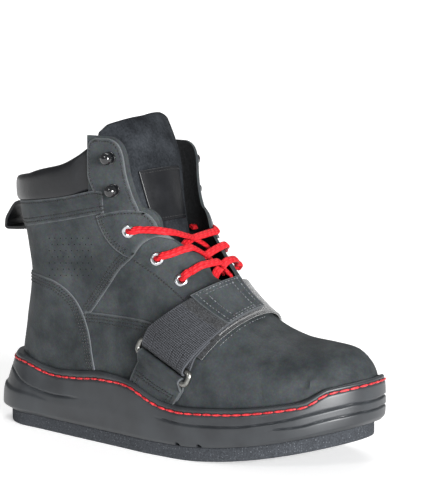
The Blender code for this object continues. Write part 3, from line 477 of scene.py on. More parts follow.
def prism(name, outline_xz, near, far, collection):
    """A side-view outline pushed from one y to another, as a cutter."""
    built = bmesh.new()
    face = built.faces.new([built.verts.new((x, near, z)) for x, z in outline_xz])
    grown = bmesh.ops.extrude_face_region(built, geom=[face])
    corners = [part for part in grown["geom"] if isinstance(part, bmesh.types.BMVert)]
    bmesh.ops.translate(built, verts=corners, vec=(0, far - near, 0))
    bmesh.ops.recalc_face_normals(built, faces=built.faces)
    mesh = bpy.data.meshes.new(name)
    built.to_mesh(mesh)
    built.free()
    return cutter(name, mesh, collection)


def cutter(name, mesh, collection):
    made = bpy.data.objects.new(name, mesh)
    made.hide_render = True
    made.display_type = "WIRE"
    collection.objects.link(made)
    return made


def cut(target, tool):
    boolean = target.modifiers.new("Cut", "BOOLEAN")
    boolean.operation = "DIFFERENCE"
    boolean.solver = "MANIFOLD"
    boolean.object = tool


def rod(name, radius, depth, segments, matrix):
    built = bmesh.new()
    bmesh.ops.create_cone(
        built, cap_ends=True, segments=segments, radius1=radius, radius2=radius, depth=depth, matrix=matrix
    )
    mesh = bpy.data.meshes.new(name)
    built.to_mesh(mesh)
    built.free()
    return mesh


def seat(row, side):
    """The form's place and outward direction at a row of the side view."""
    x, z = side_row(row, side)
    point = surface(x, z, side)
    turn = Vector(normals(point, side)).to_track_quat("Z", "Y").to_matrix().to_4x4()
    return Matrix.Translation(Vector(point)) @ turn


def raised(row, heights):
    return np.column_stack([row, np.broadcast_to(heights, len(row))])


def form_rows(count, level, grown):
    """Matched rows round the upper's form where it crosses a level, moved out by grown."""
    share = row_shares(count)
    rows = []
    for side in SIDES.values():
        x = (share - 0.5) * PAD_LENGTH
        y = np.zeros(count)
        for _ in range(6):
            z = level(x, y)
            x = back_of(z) + (front_of(z) - back_of(z)) * share
            y = surface(x, z, side)[:, 1]
        rows.append(np.column_stack([x, y]))
    heights = [level(row[:, 0], row[:, 1]) for row in rows]
    return [raised(row, z) for row, z in zip(grow(rows, grown), heights)]


def above_bed(height):
    """A level at a height over the cup's floor."""
    return lambda x, y: bed(x) + height


def up_wall(share):
    """A level at a share of the way from the cup's floor to its lip."""
    return lambda x, y: bed(x) + (lip(x, y) - bed(x)) * share


def feather(x):
    return bed(x) + FEATHER_GAP


def fan_lines(shaft_lines, back_lines, arch_lines, foot_lines):
    """Lines of the side view, each from the back or the bottom edge to the ridge.

    They lie level in the shaft, turn about the instep and stand upright in the foot. The last column says how
    far a line's low end is rounded off too, as it is on the back.
    """
    turn_top = FOOTBED + TURN_TOP * SHAFT_HEIGHT
    turn_toe = (TURN_TOE - 0.5) * PAD_LENGTH
    first = np.argmin(np.abs(RIDGE_Z - turn_top) + (RIDGE_X > turn_toe))
    last = np.argmin(np.abs(RIDGE_X - turn_toe) + (RIDGE_Z < FOOTBED))
    lines = []
    for z in np.linspace(RIDGE_Z[-1], turn_top, shaft_lines, endpoint=False):
        lines.append((back_of(z), z, np.interp(z, RIDGE_Z[first:], RIDGE_X[first:]), z, 1.0))
    heel_z = feather(back_of(FOOTBED))
    heel_x = back_of(heel_z)
    lows = [(back_of(z), z, 1.0) for z in np.linspace(turn_top, heel_z, back_lines, endpoint=False)]
    for share in np.linspace(0, 1, arch_lines, endpoint=False):
        x = heel_x + (turn_toe - heel_x) * (1 - cos(share * pi / 2))
        lows.append((x, feather(x), 1 - ease(0, HEEL_ROUND, x - heel_x)))
    for k, (low_x, low_z, both) in zip(np.linspace(first, last, len(lows), endpoint=False), lows):
        high = [np.interp(k, np.arange(len(RIDGE_X)), ridge) for ridge in (RIDGE_X, RIDGE_Z)]
        lines.append((low_x, low_z, *high, both))
    foot_x, foot_z = RIDGE_X[last::-1], RIDGE_Z[last::-1]
    for share in np.linspace(0, 1, foot_lines):
        x = turn_toe + (TOE_X - turn_toe) * sin(share * pi / 2)
        lines.append((x, feather(x), x, np.interp(x, foot_x, foot_z), 0.0))
    return lines


def form_sections(lines, count):
    """Each line's points up the lateral side and down the medial one."""
    s = np.linspace(0, 1, count)
    sections = []
    for low_x, low_z, high_x, high_z, both in lines:
        t = (1 - both) * np.sin(s * pi / 2) + both * (1 - np.cos(s * pi)) / 2
        x, z = low_x + (high_x - low_x) * t, low_z + (high_z - low_z) * t
        sections.append(np.vstack([surface(x, z, LATERAL), surface(x, z, MEDIAL)[::-1]]))
    return sections


def side_points(rows):
    """A table's rows as points of the side view."""
    return [
        (r.along * LAST_LENGTH + LAST_START - PAD_LENGTH / 2, r.up * SHAFT_HEIGHT + FOOTBED) for r in rows
    ]


def seam_height(x):
    seam = np.array(side_points(SEAM))
    return smooth_steps(seam[:, 0], seam[:, 1], x)


def collar_height(x):
    wide = smooth_steps(column(COLLAR, "along"), column(COLLAR, "wide"), (x - BACK_X) / LAST_LENGTH)
    return wide * COLLAR_WIDE


def side_row(row, side):
    """A point of the side view, lower on the inner side by the row's drop."""
    drop = row.drop if side == MEDIAL else 0
    return row.along * LAST_LENGTH + BACK_X, (row.up - drop) * SHAFT_HEIGHT + FOOTBED


def ridge_height(x):
    foot = slice(np.argmin(RIDGE_X), None, -1)
    return np.interp(x, RIDGE_X[foot], RIDGE_Z[foot])


class Ring:
    """The straight bar under one strap end: its ends, and the directions along it, up the strap and out."""

    def __init__(self, side):
        ends = []
        for row in STRAP:
            x, z = row.bar_along * LAST_LENGTH + BACK_X, row.bar_up * SHAFT_HEIGHT + FOOTBED
            ends.append(lifted(x, z, side, RING_LIFT))
        self.side = side
        self.first, self.last = ends
        self.width = np.linalg.norm(self.last - self.first)
        self.along = (self.last - self.first) / self.width
        middle = (self.first + self.last) / 2
        out = normals(surface(middle[0], middle[2], side), side)
        out -= self.along * (out @ self.along)
        self.out = out / np.linalg.norm(out)
        up = np.cross(self.along, self.out)
        self.up = up if up[2] > 0 else -up

    def point(self, share, up=0.0, out=0.0):
        return self.first + (self.last - self.first) * share + self.up * up + self.out * out


def strap_line(ring, share):
    """Low and high side-view points of one line along the strap, from above the ring to the ridge."""
    bar = ring.point(share, FOLD_RISE)
    top = STRAP[0].top_along + (STRAP[1].top_along - STRAP[0].top_along) * share
    x = top * LAST_LENGTH + BACK_X
    return np.array([bar[0], bar[2]]), np.array([x, ridge_height(x)])


def on_strap(ring, share, way, lift):
    low, high = strap_line(ring, share)
    x, z = low + (high - low) * sin(way * pi / 2)
    return lifted(x, z, ring.side, lift)


# Finer sizes that only show up close, in metres

FINE_UPPER = (22, 26, 44, 40)
TURN_TOP = 0.74
TURN_TOE = 0.72
FINE_POINTS = 56
SHEET_STEP = 0.0023
LINE_STEP = 0.0012
UNROLL = 0.35
SUNK = -0.0003
FACING_STOP = 0.304
SEWING_INSET = 0.0022
SEWING_GAP = 0.0024
COLLAR_OUT = 0.0034
COLLAR_IN = 0.0065

# Cut lines of the leather pieces in the side view, each from its back or top end
COUNTER_EDGE = table(
    "along up",
    (0.099, 0.461), (0.165, 0.449), (0.211, 0.418), (0.240, 0.380), (0.264, 0.325), (0.285, 0.249),
    (0.300, 0.168), (0.314, 0.088), (0.322, 0.010),
)
COUNTER_BACK = 0.455
QUARTER_FRONT = table(
    "along up",
    (0.512, 0.650), (0.480, 0.662), (0.451, 0.637), (0.424, 0.577), (0.384, 0.517), (0.351, 0.449),
    (0.318, 0.380), (0.290, 0.322),
)
BAND_BOTTOM = table(
    "along up",
    (0.050, 0.652), (0.094, 0.662), (0.210, 0.699), (0.352, 0.751),
)
BAND_BACK = 0.648
LOWER_TOP = table(
    "along up",
    (0.270, 0.322), (0.320, 0.326), (0.380, 0.325), (0.440, 0.322), (0.520, 0.312),
)
STAY_TOP = table(
    "along up",
    (0.326, 0.738), (0.366, 0.757), (0.406, 0.769), (0.434, 0.770), (0.456, 0.757), (0.471, 0.728),
    (0.481, 0.694),
)
STAY_BACK = table(
    "along up",
    (0.326, 0.738), (0.336, 0.690), (0.352, 0.645), (0.376, 0.606), (0.400, 0.582),
)
HOOK_FRONT = table(
    "along up",
    (0.330, 1.060), (0.367, 1.061), (0.393, 1.042), (0.406, 0.994), (0.413, 0.912), (0.426, 0.824),
    (0.434, 0.790), (0.444, 0.745),
)
HOOK_BACK = table(
    "along up",
    (0.330, 1.060), (0.312, 1.040), (0.306, 0.985), (0.306, 0.904), (0.318, 0.850), (0.334, 0.790),
    (0.342, 0.730),
)
THROAT_FRONT = table(
    "along up",
    (0.481, 0.694), (0.512, 0.650),
)
FRONT_SEAM = table(
    "along up",
    (0.429, 0.561), (0.490, 0.500), (0.563, 0.420),
)
PERFORATED = table(
    "along up",
    (0.175, 0.622), (0.315, 0.642), (0.307, 0.484), (0.166, 0.462),
)
PERFORATION_ROWS = 7
PERFORATION_COLUMNS = 8

# Heights of the leather layers over the form
QUARTER_LIFT = 0.0008
LOWER_LIFT = 0.0009
BAND_LIFT = 0.0015
COUNTER_LIFT = 0.0016
STAY_LIFT = 0.0017
HOOK_LIFT = 0.0014

# Lines in the sole's side, as millimetres from the heel and from the floor
HEEL_GROOVE = table(
    "along up",
    (-6, 43), (8, 41), (18, 38.8), (31, 32.8), (43, 29.4), (65, 27.7), (92, 29.4),
)
HEEL_LEDGE = table(
    "along up",
    (-6, 29.5), (8, 28.6), (18, 27.1), (36, 25.8), (62, 22.6),
)
BALL_GROOVE = table(
    "along up",
    (170, 27.4), (193, 25.7), (233, 28.2), (254, 32.0), (272, 36.3), (283, 39.8), (304, 46.0),
)
TOE_GROOVE = table(
    "along up",
    (258, 28.6), (264, 29.4), (279, 31.9), (289, 35.2), (306, 39.6),
)


# Leather cut to a line and laid over the form


def along_line(points, step):
    """Points of one smooth line through the given ones, evenly spaced."""
    points = np.asarray(points, float)
    run = np.concatenate([[0], np.cumsum(np.linalg.norm(np.diff(points, axis=0), axis=1))])
    at = np.linspace(0, run[-1], max(3, int(round(run[-1] / step)) + 1))
    return np.column_stack([smooth_steps(run, points[:, k], at) for k in range(points.shape[1])])


def facing_drop(along, up):
    """How much lower a line of the side view sits on the inner side, where the facing does."""
    rows = FACING[12::-1]
    return np.interp(up, column(rows, "up"), column(rows, "drop")) * ease(0.24, 0.34, along)


def placed(rows, side, offset=0.0):
    """A table's rows as side-view points, moved offset to the left of their way."""
    along, up = (np.array(column(rows, name)) for name in ("along", "up"))
    if side == MEDIAL:
        up = up - facing_drop(along, up)
    points = np.column_stack([along * LAST_LENGTH + BACK_X, up * SHAFT_HEIGHT + FOOTBED])
    way = np.gradient(points, axis=0)
    way /= np.linalg.norm(way, axis=1)[:, None]
    return points + np.column_stack([-way[:, 1], way[:, 0]]) * offset


def unrolled(points, side):
    """Side-view points as (u, z): u runs round the back from the outer side, below 0, to the inner one."""
    depth = np.clip(points[:, 0] - back_of(points[:, 1]), 0, None)
    return np.column_stack([side * UNROLL * np.sqrt(depth), points[:, 1]])


def draped(flat, lift):
    """Places over the form for (u, z) points."""
    flat = np.asarray(flat)
    u, z = flat.T
    x = back_of(z) + (u / UNROLL) ** 2
    lift = np.broadcast_to(lift, u.shape)
    return np.where(u[:, None] < 0, lifted(x, z, LATERAL, lift), lifted(x, z, MEDIAL, lift))


def round_back(rows, back_up, offset=0.0):
    """A line that runs round the heel: its rows, from the back forwards, on both sides."""
    halves = [unrolled(placed(rows, side, offset), side) for side in SIDES.values()]
    middle = np.array([[0.0, back_up * SHAFT_HEIGHT + FOOTBED + offset]])
    return along_line(np.vstack([halves[0][::-1], middle, halves[1]]), LINE_STEP)


def side_line(rows, side, offset=0.0):
    return unrolled(along_line(placed(rows, side, offset), LINE_STEP), side)


def within(points, loop):
    """Which points lie inside a closed loop, by counting the edges to their right."""
    x, y = points[:, 0][:, None], points[:, 1][:, None]
    ax, ay = loop.T
    bx, by = np.roll(loop, -1, axis=0).T
    crosses = (ay > y) != (by > y)
    slope = np.where(by == ay, 1, by - ay)
    return (crosses & (x < (bx - ax) * (y - ay) / slope + ax)).sum(axis=1) % 2 == 1


def near_loop(points, loop):
    ends = np.roll(loop, -1, axis=0) - loop
    to = points[:, None] - loop[None]
    t = np.clip((to * ends).sum(axis=2) / np.maximum((ends * ends).sum(axis=1), 1e-16), 0, 1)
    return np.linalg.norm(to - t[..., None] * ends, axis=2).min(axis=1)


def triangulated(loop, step):
    """A flat loop filled with even triangles."""
    low, high = loop.min(axis=0), loop.max(axis=0)
    grid = []
    for k, z in enumerate(np.arange(low[1], high[1], step * 0.87)):
        u = np.arange(low[0] + step * 0.5 * (k % 2), high[0], step)
        grid.append(np.column_stack([u, np.full(len(u), z)]))
    grid = np.vstack(grid)
    grid = grid[within(grid, loop)]
    grid = grid[near_loop(grid, loop) > step * 0.6]
    points = [Vector(p) for p in np.vstack([loop, grid]).tolist()]
    made = delaunay_2d_cdt(points, [], [list(range(len(loop)))], 1, 1e-7)
    return np.array([tuple(p) for p in made[0]]), [tuple(face) for face in made[2]]


def walled(name, outer, inner, faces):
    """A closed sheet from its outer and inner points, with an edge attribute of 1 on its rim."""
    count = len(outer)
    used = {}
    for face in faces:
        for a, b in zip(face, face[1:] + face[:1]):
            used[(a, b)] = True
    rim = [(a, b) for a, b in used if (b, a) not in used]
    whole = list(faces) + [tuple(k + count for k in face[::-1]) for face in faces]
    whole += [(b, a, a + count, b + count) for a, b in rim]
    mesh = bpy.data.meshes.new(name)
    mesh.from_pydata(np.vstack([outer, inner]).tolist(), [], whole)
    edge = np.zeros(2 * count)
    for a, b in rim:
        edge[[a, b, a + count, b + count]] = 1
    mesh.attributes.new("edge", "FLOAT", "POINT").data.foreach_set("value", edge.astype(np.float32))
    return tidied(mesh)


def tidied(mesh, sharp=50):
    """Faces turned outwards, smooth but for the sharp edges."""
    built = bmesh.new()
    built.from_mesh(mesh)
    bmesh.ops.recalc_face_normals(built, faces=built.faces)
    built.to_mesh(mesh)
    built.free()
    mesh.shade_smooth()
    mesh.set_sharp_from_angle(angle=radians(sharp))
    return mesh


def shown(name, mesh, *finishes):
    made = bpy.data.objects.new(name, mesh)
    mesh.materials.clear()
    for finish in finishes:
        mesh.materials.append(finish)
    bpy.context.scene.collection.objects.link(made)
    return made


def plain(made):
    """The object with its modifiers made into its own mesh."""
    graph = bpy.context.evaluated_depsgraph_get()
    mesh = bpy.data.meshes.new_from_object(made.evaluated_get(graph))
    made.modifiers.clear()
    made.data = mesh
    return made


def rounded_rim(made, width):
    bevel = made.modifiers.new("Rim", "BEVEL")
    bevel.width = width
    bevel.segments = 2
    bevel.limit_method = "ANGLE"
    bevel.angle_limit = radians(55)
    return plain(made)


def settled(made, slot, *nodes):
    """The piece rides on the boot, stands for its CAD nodes and names its finish."""
    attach(made, "root")
    if nodes:
        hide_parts(*nodes)
    return made


def cut_leather(name, loop, lift, finish, step=SHEET_STEP):
    flat, faces = triangulated(np.asarray(loop), step)
    mesh = walled(name, draped(flat, lift), draped(flat, SUNK), faces)
    return settled(rounded_rim(shown(name, mesh, finish), 0.0004), "oiled_leather")


def joined_loop(*lines):
    """Lines end to end as one loop, without the points where they meet doubled."""
    points = [lines[0][0]]
    for line in lines:
        for p in line:
            if np.linalg.norm(p - points[-1]) > LINE_STEP * 0.3:
                points.append(p)
    if np.linalg.norm(points[0] - points[-1]) < LINE_STEP * 0.3:
        points.pop()
    return np.array(points)


def straight(first, last):
    count = max(2, int(np.linalg.norm(np.subtract(last, first)) / LINE_STEP))
    return np.linspace(first, last, count)


# Nodes that repeat a small shape along a line or over points


def add(tree, kind, inputs=None, stops=(), **settings):
    """A node with its settings. An input is given a value or another node's output, a ramp its stops."""
    node = tree.nodes.new(kind)
    for k, (place, colour) in enumerate(stops):
        node.color_ramp.elements[k].position = place
        node.color_ramp.elements[k].color = colour
    for name, value in settings.items():
        setattr(node, name, value)
    for name, value in (inputs or {}).items():
        if isinstance(value, bpy.types.NodeSocket):
            tree.links.new(value, node.inputs[name])
        else:
            node.inputs[name].default_value = value
    return node


def stitch_tree():
    """Repeats a short thread along each curve. Pitch, Length and Thickness are in metres."""
    tree = bpy.data.node_groups.new("Sewn rows", "GeometryNodeTree")
    face = tree.interface
    face.new_socket("Geometry", in_out="INPUT", socket_type="NodeSocketGeometry")
    for name in ("Pitch", "Length", "Thickness"):
        face.new_socket(name, in_out="INPUT", socket_type="NodeSocketFloat")
    face.new_socket("Seed", in_out="INPUT", socket_type="NodeSocketInt")
    face.new_socket("Thread", in_out="INPUT", socket_type="NodeSocketMaterial")
    face.new_socket("Geometry", in_out="OUTPUT", socket_type="NodeSocketGeometry")
    source = add(tree, "NodeGroupInput").outputs
    row = add(
        tree, "GeometryNodeResampleCurve", {"Curve": source["Geometry"], "Length": source["Pitch"]},
        mode="LENGTH"
    )
    thread = add(tree, "GeometryNodeMeshUVSphere", {"Segments": 7, "Rings": 6, "Radius": 0.5})
    size = add(
        tree, "ShaderNodeCombineXYZ",
        {"X": source["Length"], "Y": source["Thickness"], "Z": source["Thickness"]}
    )
    upright = add(
        tree, "GeometryNodeTransform", {"Geometry": thread.outputs["Mesh"], "Rotation": (0, pi / 2, 0)}
    )
    sized = add(
        tree, "GeometryNodeTransform",
        {"Geometry": upright.outputs["Geometry"], "Scale": size.outputs["Vector"]}
    )
    way = add(tree, "GeometryNodeInputTangent")
    lie = add(tree, "FunctionNodeAlignRotationToVector", {"Vector": way.outputs["Tangent"]}, axis="X")
    uneven = add(tree, "FunctionNodeRandomValue", {"Seed": source["Seed"]}, data_type="FLOAT")
    uneven.inputs[2].default_value, uneven.inputs[3].default_value = 0.92, 1.06
    laid = add(tree, "GeometryNodeInstanceOnPoints", {
        "Points": row.outputs["Curve"],
        "Instance": sized.outputs["Geometry"],
        "Rotation": lie.outputs["Rotation"],
        "Scale": uneven.outputs[1],
    })
    real = add(tree, "GeometryNodeRealizeInstances", {"Geometry": laid.outputs["Instances"]})
    smooth = add(tree, "GeometryNodeSetShadeSmooth", {"Geometry": real.outputs["Geometry"]})
    dressed = add(
        tree, "GeometryNodeSetMaterial",
        {"Geometry": smooth.outputs["Geometry"], "Material": source["Thread"]}
    )
    add(tree, "NodeGroupOutput", {"Geometry": dressed.outputs["Geometry"]})
    return tree


def hole_tree():
    """A small dark dimple at each point, facing the way its normal attribute does."""
    tree = bpy.data.node_groups.new("Punched holes", "GeometryNodeTree")
    face = tree.interface
    face.new_socket("Geometry", in_out="INPUT", socket_type="NodeSocketGeometry")
    face.new_socket("Radius", in_out="INPUT", socket_type="NodeSocketFloat")
    face.new_socket("Depth", in_out="INPUT", socket_type="NodeSocketFloat")
    face.new_socket("Inside", in_out="INPUT", socket_type="NodeSocketMaterial")
    face.new_socket("Geometry", in_out="OUTPUT", socket_type="NodeSocketGeometry")
    source = add(tree, "NodeGroupInput").outputs
    plug = add(
        tree, "GeometryNodeMeshCylinder",
        {"Vertices": 10, "Radius": source["Radius"], "Depth": source["Depth"]}
    )
    way = add(tree, "GeometryNodeInputNamedAttribute", {"Name": "outward"}, data_type="FLOAT_VECTOR")
    stand = add(tree, "FunctionNodeAlignRotationToVector", {"Vector": way.outputs["Attribute"]}, axis="Z")
    laid = add(tree, "GeometryNodeInstanceOnPoints", {
        "Points": source["Geometry"],
        "Instance": plug.outputs["Mesh"],
        "Rotation": stand.outputs["Rotation"],
    })
    real = add(tree, "GeometryNodeRealizeInstances", {"Geometry": laid.outputs["Instances"]})
    dressed = add(
        tree, "GeometryNodeSetMaterial",
        {"Geometry": real.outputs["Geometry"], "Material": source["Inside"]}
    )
    add(tree, "NodeGroupOutput", {"Geometry": dressed.outputs["Geometry"]})
    return tree


def grown_by(made, tree, values):
    """The object's mesh as the node tree makes it from the named values."""
    repeat = made.modifiers.new(tree.name, "NODES")
    repeat.node_group = tree
    for socket in tree.interface.items_tree:
        if socket.in_out == "INPUT" and socket.name in values:
            repeat[socket.identifier] = values[socket.name]
    graph = bpy.context.evaluated_depsgraph_get()
    mesh = bpy.data.meshes.new_from_object(made.evaluated_get(graph))
    made.modifiers.clear()
    result = bpy.data.objects.new(made.name + "_made", mesh)
    bpy.context.scene.collection.objects.link(result)
    name = made.name
    bpy.data.objects.remove(made, do_unlink=True)
    result.name = name
    return result


def sewn(name, rows, thread, pitch, length, thickness, slot, seed=1):
    """One piece of all the stitches along these 3-D rows."""
    curve = bpy.data.curves.new(name, "CURVE")
    curve.dimensions = "3D"
    for row in rows:
        line = curve.splines.new("POLY")
        line.points.add(len(row) - 1)
        line.points.foreach_set("co", np.column_stack([row, np.ones(len(row))]).astype(np.float32).ravel())
    made = bpy.data.objects.new(name, curve)
    bpy.context.scene.collection.objects.link(made)
    tree = bpy.data.node_groups.get("Sewn rows") or stitch_tree()
    values = {"Pitch": pitch, "Length": length, "Thickness": thickness, "Seed": seed, "Thread": thread}
    return settled(grown_by(made, tree, values), slot)

# Finishes


def linear(hex_colour):
    """An sRGB hex value as linear colour with alpha."""
    parts = [int(hex_colour[k : k + 2], 16) / 255 for k in (1, 3, 5)]
    return (*[p / 12.92 if p <= 0.04045 else ((p + 0.055) / 1.055) ** 2.4 for p in parts], 1)


def per_mm(size):
    """Scale of a texture whose marks are this many millimetres apart."""
    return 1000 / size


def blank(name, roughness, **sockets):
    """A material of one shader, its tree, and the place in the object's own coordinates."""
    made = bpy.data.materials.new(name)
    made.use_nodes = True
    tree = made.node_tree
    shader = tree.nodes["Principled BSDF"]
    shader.inputs["Roughness"].default_value = roughness
    for socket, value in sockets.items():
        shader.inputs[socket.replace("_", " ")].default_value = value
    return made, tree, shader, add(tree, "ShaderNodeTexCoord").outputs


def oiled_leather():
    """Oiled nubuck: a cloudy charcoal with a fine nap, paler where it is cut or rubbed."""
    made, tree, shader, at = blank("Oiled nubuck leather", 0.62, Specular_IOR_Level=0.16)
    cloud = add(
        tree, "ShaderNodeTexNoise",
        {"Vector": at["Object"], "Scale": per_mm(26), "Detail": 5.0, "Roughness": 0.62}
    )
    tone = add(
        tree, "ShaderNodeValToRGB", {"Fac": cloud.outputs["Fac"]},
        stops=((0.36, linear("#25292b")), (0.68, linear("#3b3f41")))
    )
    nap = add(
        tree, "ShaderNodeTexNoise",
        {"Vector": at["Object"], "Scale": per_mm(1.6), "Detail": 3.0, "Roughness": 0.7}
    )
    napped = add(
        tree, "ShaderNodeMix", {"Factor": nap.outputs["Fac"]}, data_type="RGBA", blend_type="OVERLAY"
    )
    napped.inputs[0].default_value = 0.32
    tree.links.new(tone.outputs["Color"], napped.inputs[6])
    tree.links.new(nap.outputs["Color"], napped.inputs[7])
    # Painted highlight: the edge attribute marks each cut piece's rim, and the rim is mixed towards a pale
    # grey
    rim_highlight_mask = add(tree, "ShaderNodeAttribute", attribute_name="edge")
    rim_highlight_falloff = add(tree, "ShaderNodeMath", {0: rim_highlight_mask.outputs["Fac"], 1: 3.0}, operation="POWER")
    part = add(tree, "ShaderNodeMath", {0: rim_highlight_falloff.outputs["Value"], 1: 0.32}, operation="MULTIPLY")
    rim_highlighted = add(tree, "ShaderNodeMix", {0: part.outputs["Value"]}, data_type="RGBA")
    tree.links.new(napped.outputs[2], rim_highlighted.inputs[6])
    rim_highlighted.inputs[7].default_value = linear("#7a7d80")
    tree.links.new(rim_highlighted.outputs[2], shader.inputs["Base Color"])
    rough = add(tree, "ShaderNodeMapRange", {"Value": cloud.outputs["Fac"], "To Min": 0.72, "To Max": 0.52})
    tree.links.new(rough.outputs["Result"], shader.inputs["Roughness"])
    pores = add(tree, "ShaderNodeTexVoronoi", {"Vector": at["Object"], "Scale": per_mm(1.3)})
    fine = add(
        tree, "ShaderNodeBump", {"Height": pores.outputs["Distance"], "Strength": 0.22, "Distance": 0.0004}
    )
    soft = add(tree, "ShaderNodeTexNoise", {"Vector": at["Object"], "Scale": per_mm(14), "Detail": 3.0})
    wide = add(
        tree, "ShaderNodeBump",
        {
            "Height": soft.outputs["Fac"], "Strength": 0.35, "Distance": 0.0016,
            "Normal": fine.outputs["Normal"]
        }
    )
    tree.links.new(wide.outputs["Normal"], shader.inputs["Normal"])
    return made


def suede():
    """Split leather with the flesh side out: rough, fibrous and darker in the hollows."""
    made, tree, shader, at = blank("Split suede leather", 0.9, Specular_IOR_Level=0.08)
    fibre = add(
        tree, "ShaderNodeTexNoise",
        {"Vector": at["Object"], "Scale": per_mm(1.8), "Detail": 5.0, "Roughness": 0.75}
    )
    cloud = add(tree, "ShaderNodeTexNoise", {"Vector": at["Object"], "Scale": per_mm(18), "Detail": 3.0})
    both = add(
        tree, "ShaderNodeMath", {0: fibre.outputs["Fac"], 1: cloud.outputs["Fac"]}, operation="MULTIPLY"
    )
    # A fibrous tone with painted shade: the colour follows the fibre noise that also drives the bump, so the
    # low fibres are darker
    tone = add(
        tree, "ShaderNodeValToRGB", {"Fac": both.outputs["Value"]},
        stops=((0.14, linear("#111316")), (0.42, linear("#303337")))
    )
    tree.links.new(tone.outputs["Color"], shader.inputs["Base Color"])
    bump = add(
        tree, "ShaderNodeBump", {"Height": fibre.outputs["Fac"], "Strength": 0.6, "Distance": 0.0006}
    )
    tree.links.new(bump.outputs["Normal"], shader.inputs["Normal"])
    return made


def smooth_leather():
    """Finished cowhide, dyed black and waxed: fine creases and a soft cool gloss."""
    made, tree, shader, at = blank(
        "Waxed black leather", 0.36, Specular_IOR_Level=0.34, Coat_Weight=0.1, Coat_Roughness=0.3
    )
    shader.inputs["Base Color"].default_value = linear("#17181b")
    crease = add(
        tree, "ShaderNodeTexVoronoi", {"Vector": at["Object"], "Scale": per_mm(2.2)},
        feature="DISTANCE_TO_EDGE"
    )
    cloud = add(tree, "ShaderNodeTexNoise", {"Vector": at["Object"], "Scale": per_mm(9), "Detail": 4.0})
    rough = add(tree, "ShaderNodeMapRange", {"Value": cloud.outputs["Fac"], "To Min": 0.26, "To Max": 0.46})
    tree.links.new(rough.outputs["Result"], shader.inputs["Roughness"])
    tone = add(
        tree, "ShaderNodeValToRGB", {"Fac": cloud.outputs["Fac"]},
        stops=((0, linear("#0b0c0e")), (1, linear("#17181b")))
    )
    tree.links.new(tone.outputs["Color"], shader.inputs["Base Color"])
    fine = add(
        tree, "ShaderNodeBump", {"Height": crease.outputs["Distance"], "Strength": 0.12, "Distance": 0.0003}
    )
    wide = add(
        tree, "ShaderNodeBump",
        {
            "Height": cloud.outputs["Fac"], "Strength": 0.3, "Distance": 0.0012,
            "Normal": fine.outputs["Normal"]
        }
    )
    tree.links.new(wide.outputs["Normal"], shader.inputs["Normal"])
    return made


def lining():
    """Knitted polyester lining: matte near-black with a small diamond mesh, drawn at twice its real 1 mm."""
    made, tree, shader, at = blank("Black lining mesh", 0.95, Specular_IOR_Level=0.2)
    cells = add(tree, "ShaderNodeTexVoronoi", {"Vector": at["Object"], "Scale": per_mm(2.0)})
    tone = add(
        tree, "ShaderNodeValToRGB", {"Fac": cells.outputs["Distance"]},
        stops=((0, linear("#1c1d1f")), (1, linear("#0f1011")))
    )
    tree.links.new(tone.outputs["Color"], shader.inputs["Base Color"])
    bump = add(
        tree, "ShaderNodeBump", {"Height": cells.outputs["Distance"], "Strength": 0.4, "Distance": 0.0005},
        invert=True
    )
    tree.links.new(bump.outputs["Normal"], shader.inputs["Normal"])
    return made


def rubber():
    """Cast polyurethane, released from a satin mould: even dark grey with a soft sheen and faint cloud."""
    made, tree, shader, at = blank("Moulded polyurethane", 0.44, Specular_IOR_Level=0.5)
    cloud = add(tree, "ShaderNodeTexNoise", {"Vector": at["Object"], "Scale": per_mm(22), "Detail": 4.0})
    tone = add(
        tree, "ShaderNodeValToRGB", {"Fac": cloud.outputs["Fac"]},
        stops=((0.3, linear("#212326")), (0.7, linear("#303336")))
    )
    tree.links.new(tone.outputs["Color"], shader.inputs["Base Color"])
    rough = add(tree, "ShaderNodeMapRange", {"Value": cloud.outputs["Fac"], "To Min": 0.34, "To Max": 0.5})
    tree.links.new(rough.outputs["Result"], shader.inputs["Roughness"])
    grit = add(tree, "ShaderNodeTexNoise", {"Vector": at["Object"], "Scale": per_mm(0.9), "Detail": 2.0})
    bump = add(
        tree, "ShaderNodeBump", {"Height": grit.outputs["Fac"], "Strength": 0.12, "Distance": 0.0002}
    )
    tree.links.new(bump.outputs["Normal"], shader.inputs["Normal"])
    return made


def foam():
    """Cut EVA and rubber crumb foam: charcoal, matte and open, with pale crumbs of about a millimetre."""
    made, tree, shader, at = blank("Crumb foam", 0.95, Specular_IOR_Level=0.2)
    crumbs = add(tree, "ShaderNodeTexVoronoi", {"Vector": at["Object"], "Scale": per_mm(1.2)})
    fleck = add(tree, "ShaderNodeMath", {0: crumbs.outputs["Distance"], 1: 0.22}, operation="LESS_THAN")
    pick = add(tree, "ShaderNodeSeparateColor", {"Color": crumbs.outputs["Color"]})
    few = add(tree, "ShaderNodeMath", {0: pick.outputs["Red"], 1: 0.62}, operation="GREATER_THAN")
    pale = add(
        tree, "ShaderNodeMath", {0: fleck.outputs["Value"], 1: few.outputs["Value"]}, operation="MULTIPLY"
    )
    grain = add(
        tree, "ShaderNodeTexNoise",
        {"Vector": at["Object"], "Scale": per_mm(1.1), "Detail": 4.0, "Roughness": 0.8}
    )
    dark = add(
        tree, "ShaderNodeValToRGB", {"Fac": grain.outputs["Fac"]},
        stops=((0.3, linear("#202225")), (0.75, linear("#44474c")))
    )
    mixed = add(tree, "ShaderNodeMix", {0: pale.outputs["Value"]}, data_type="RGBA")
    tree.links.new(dark.outputs["Color"], mixed.inputs[6])
    mixed.inputs[7].default_value = linear("#63666b")
    tree.links.new(mixed.outputs[2], shader.inputs["Base Color"])
    bump = add(
        tree, "ShaderNodeBump", {"Height": grain.outputs["Fac"], "Strength": 0.7, "Distance": 0.0006}
    )
    tree.links.new(bump.outputs["Normal"], shader.inputs["Normal"])
    return made


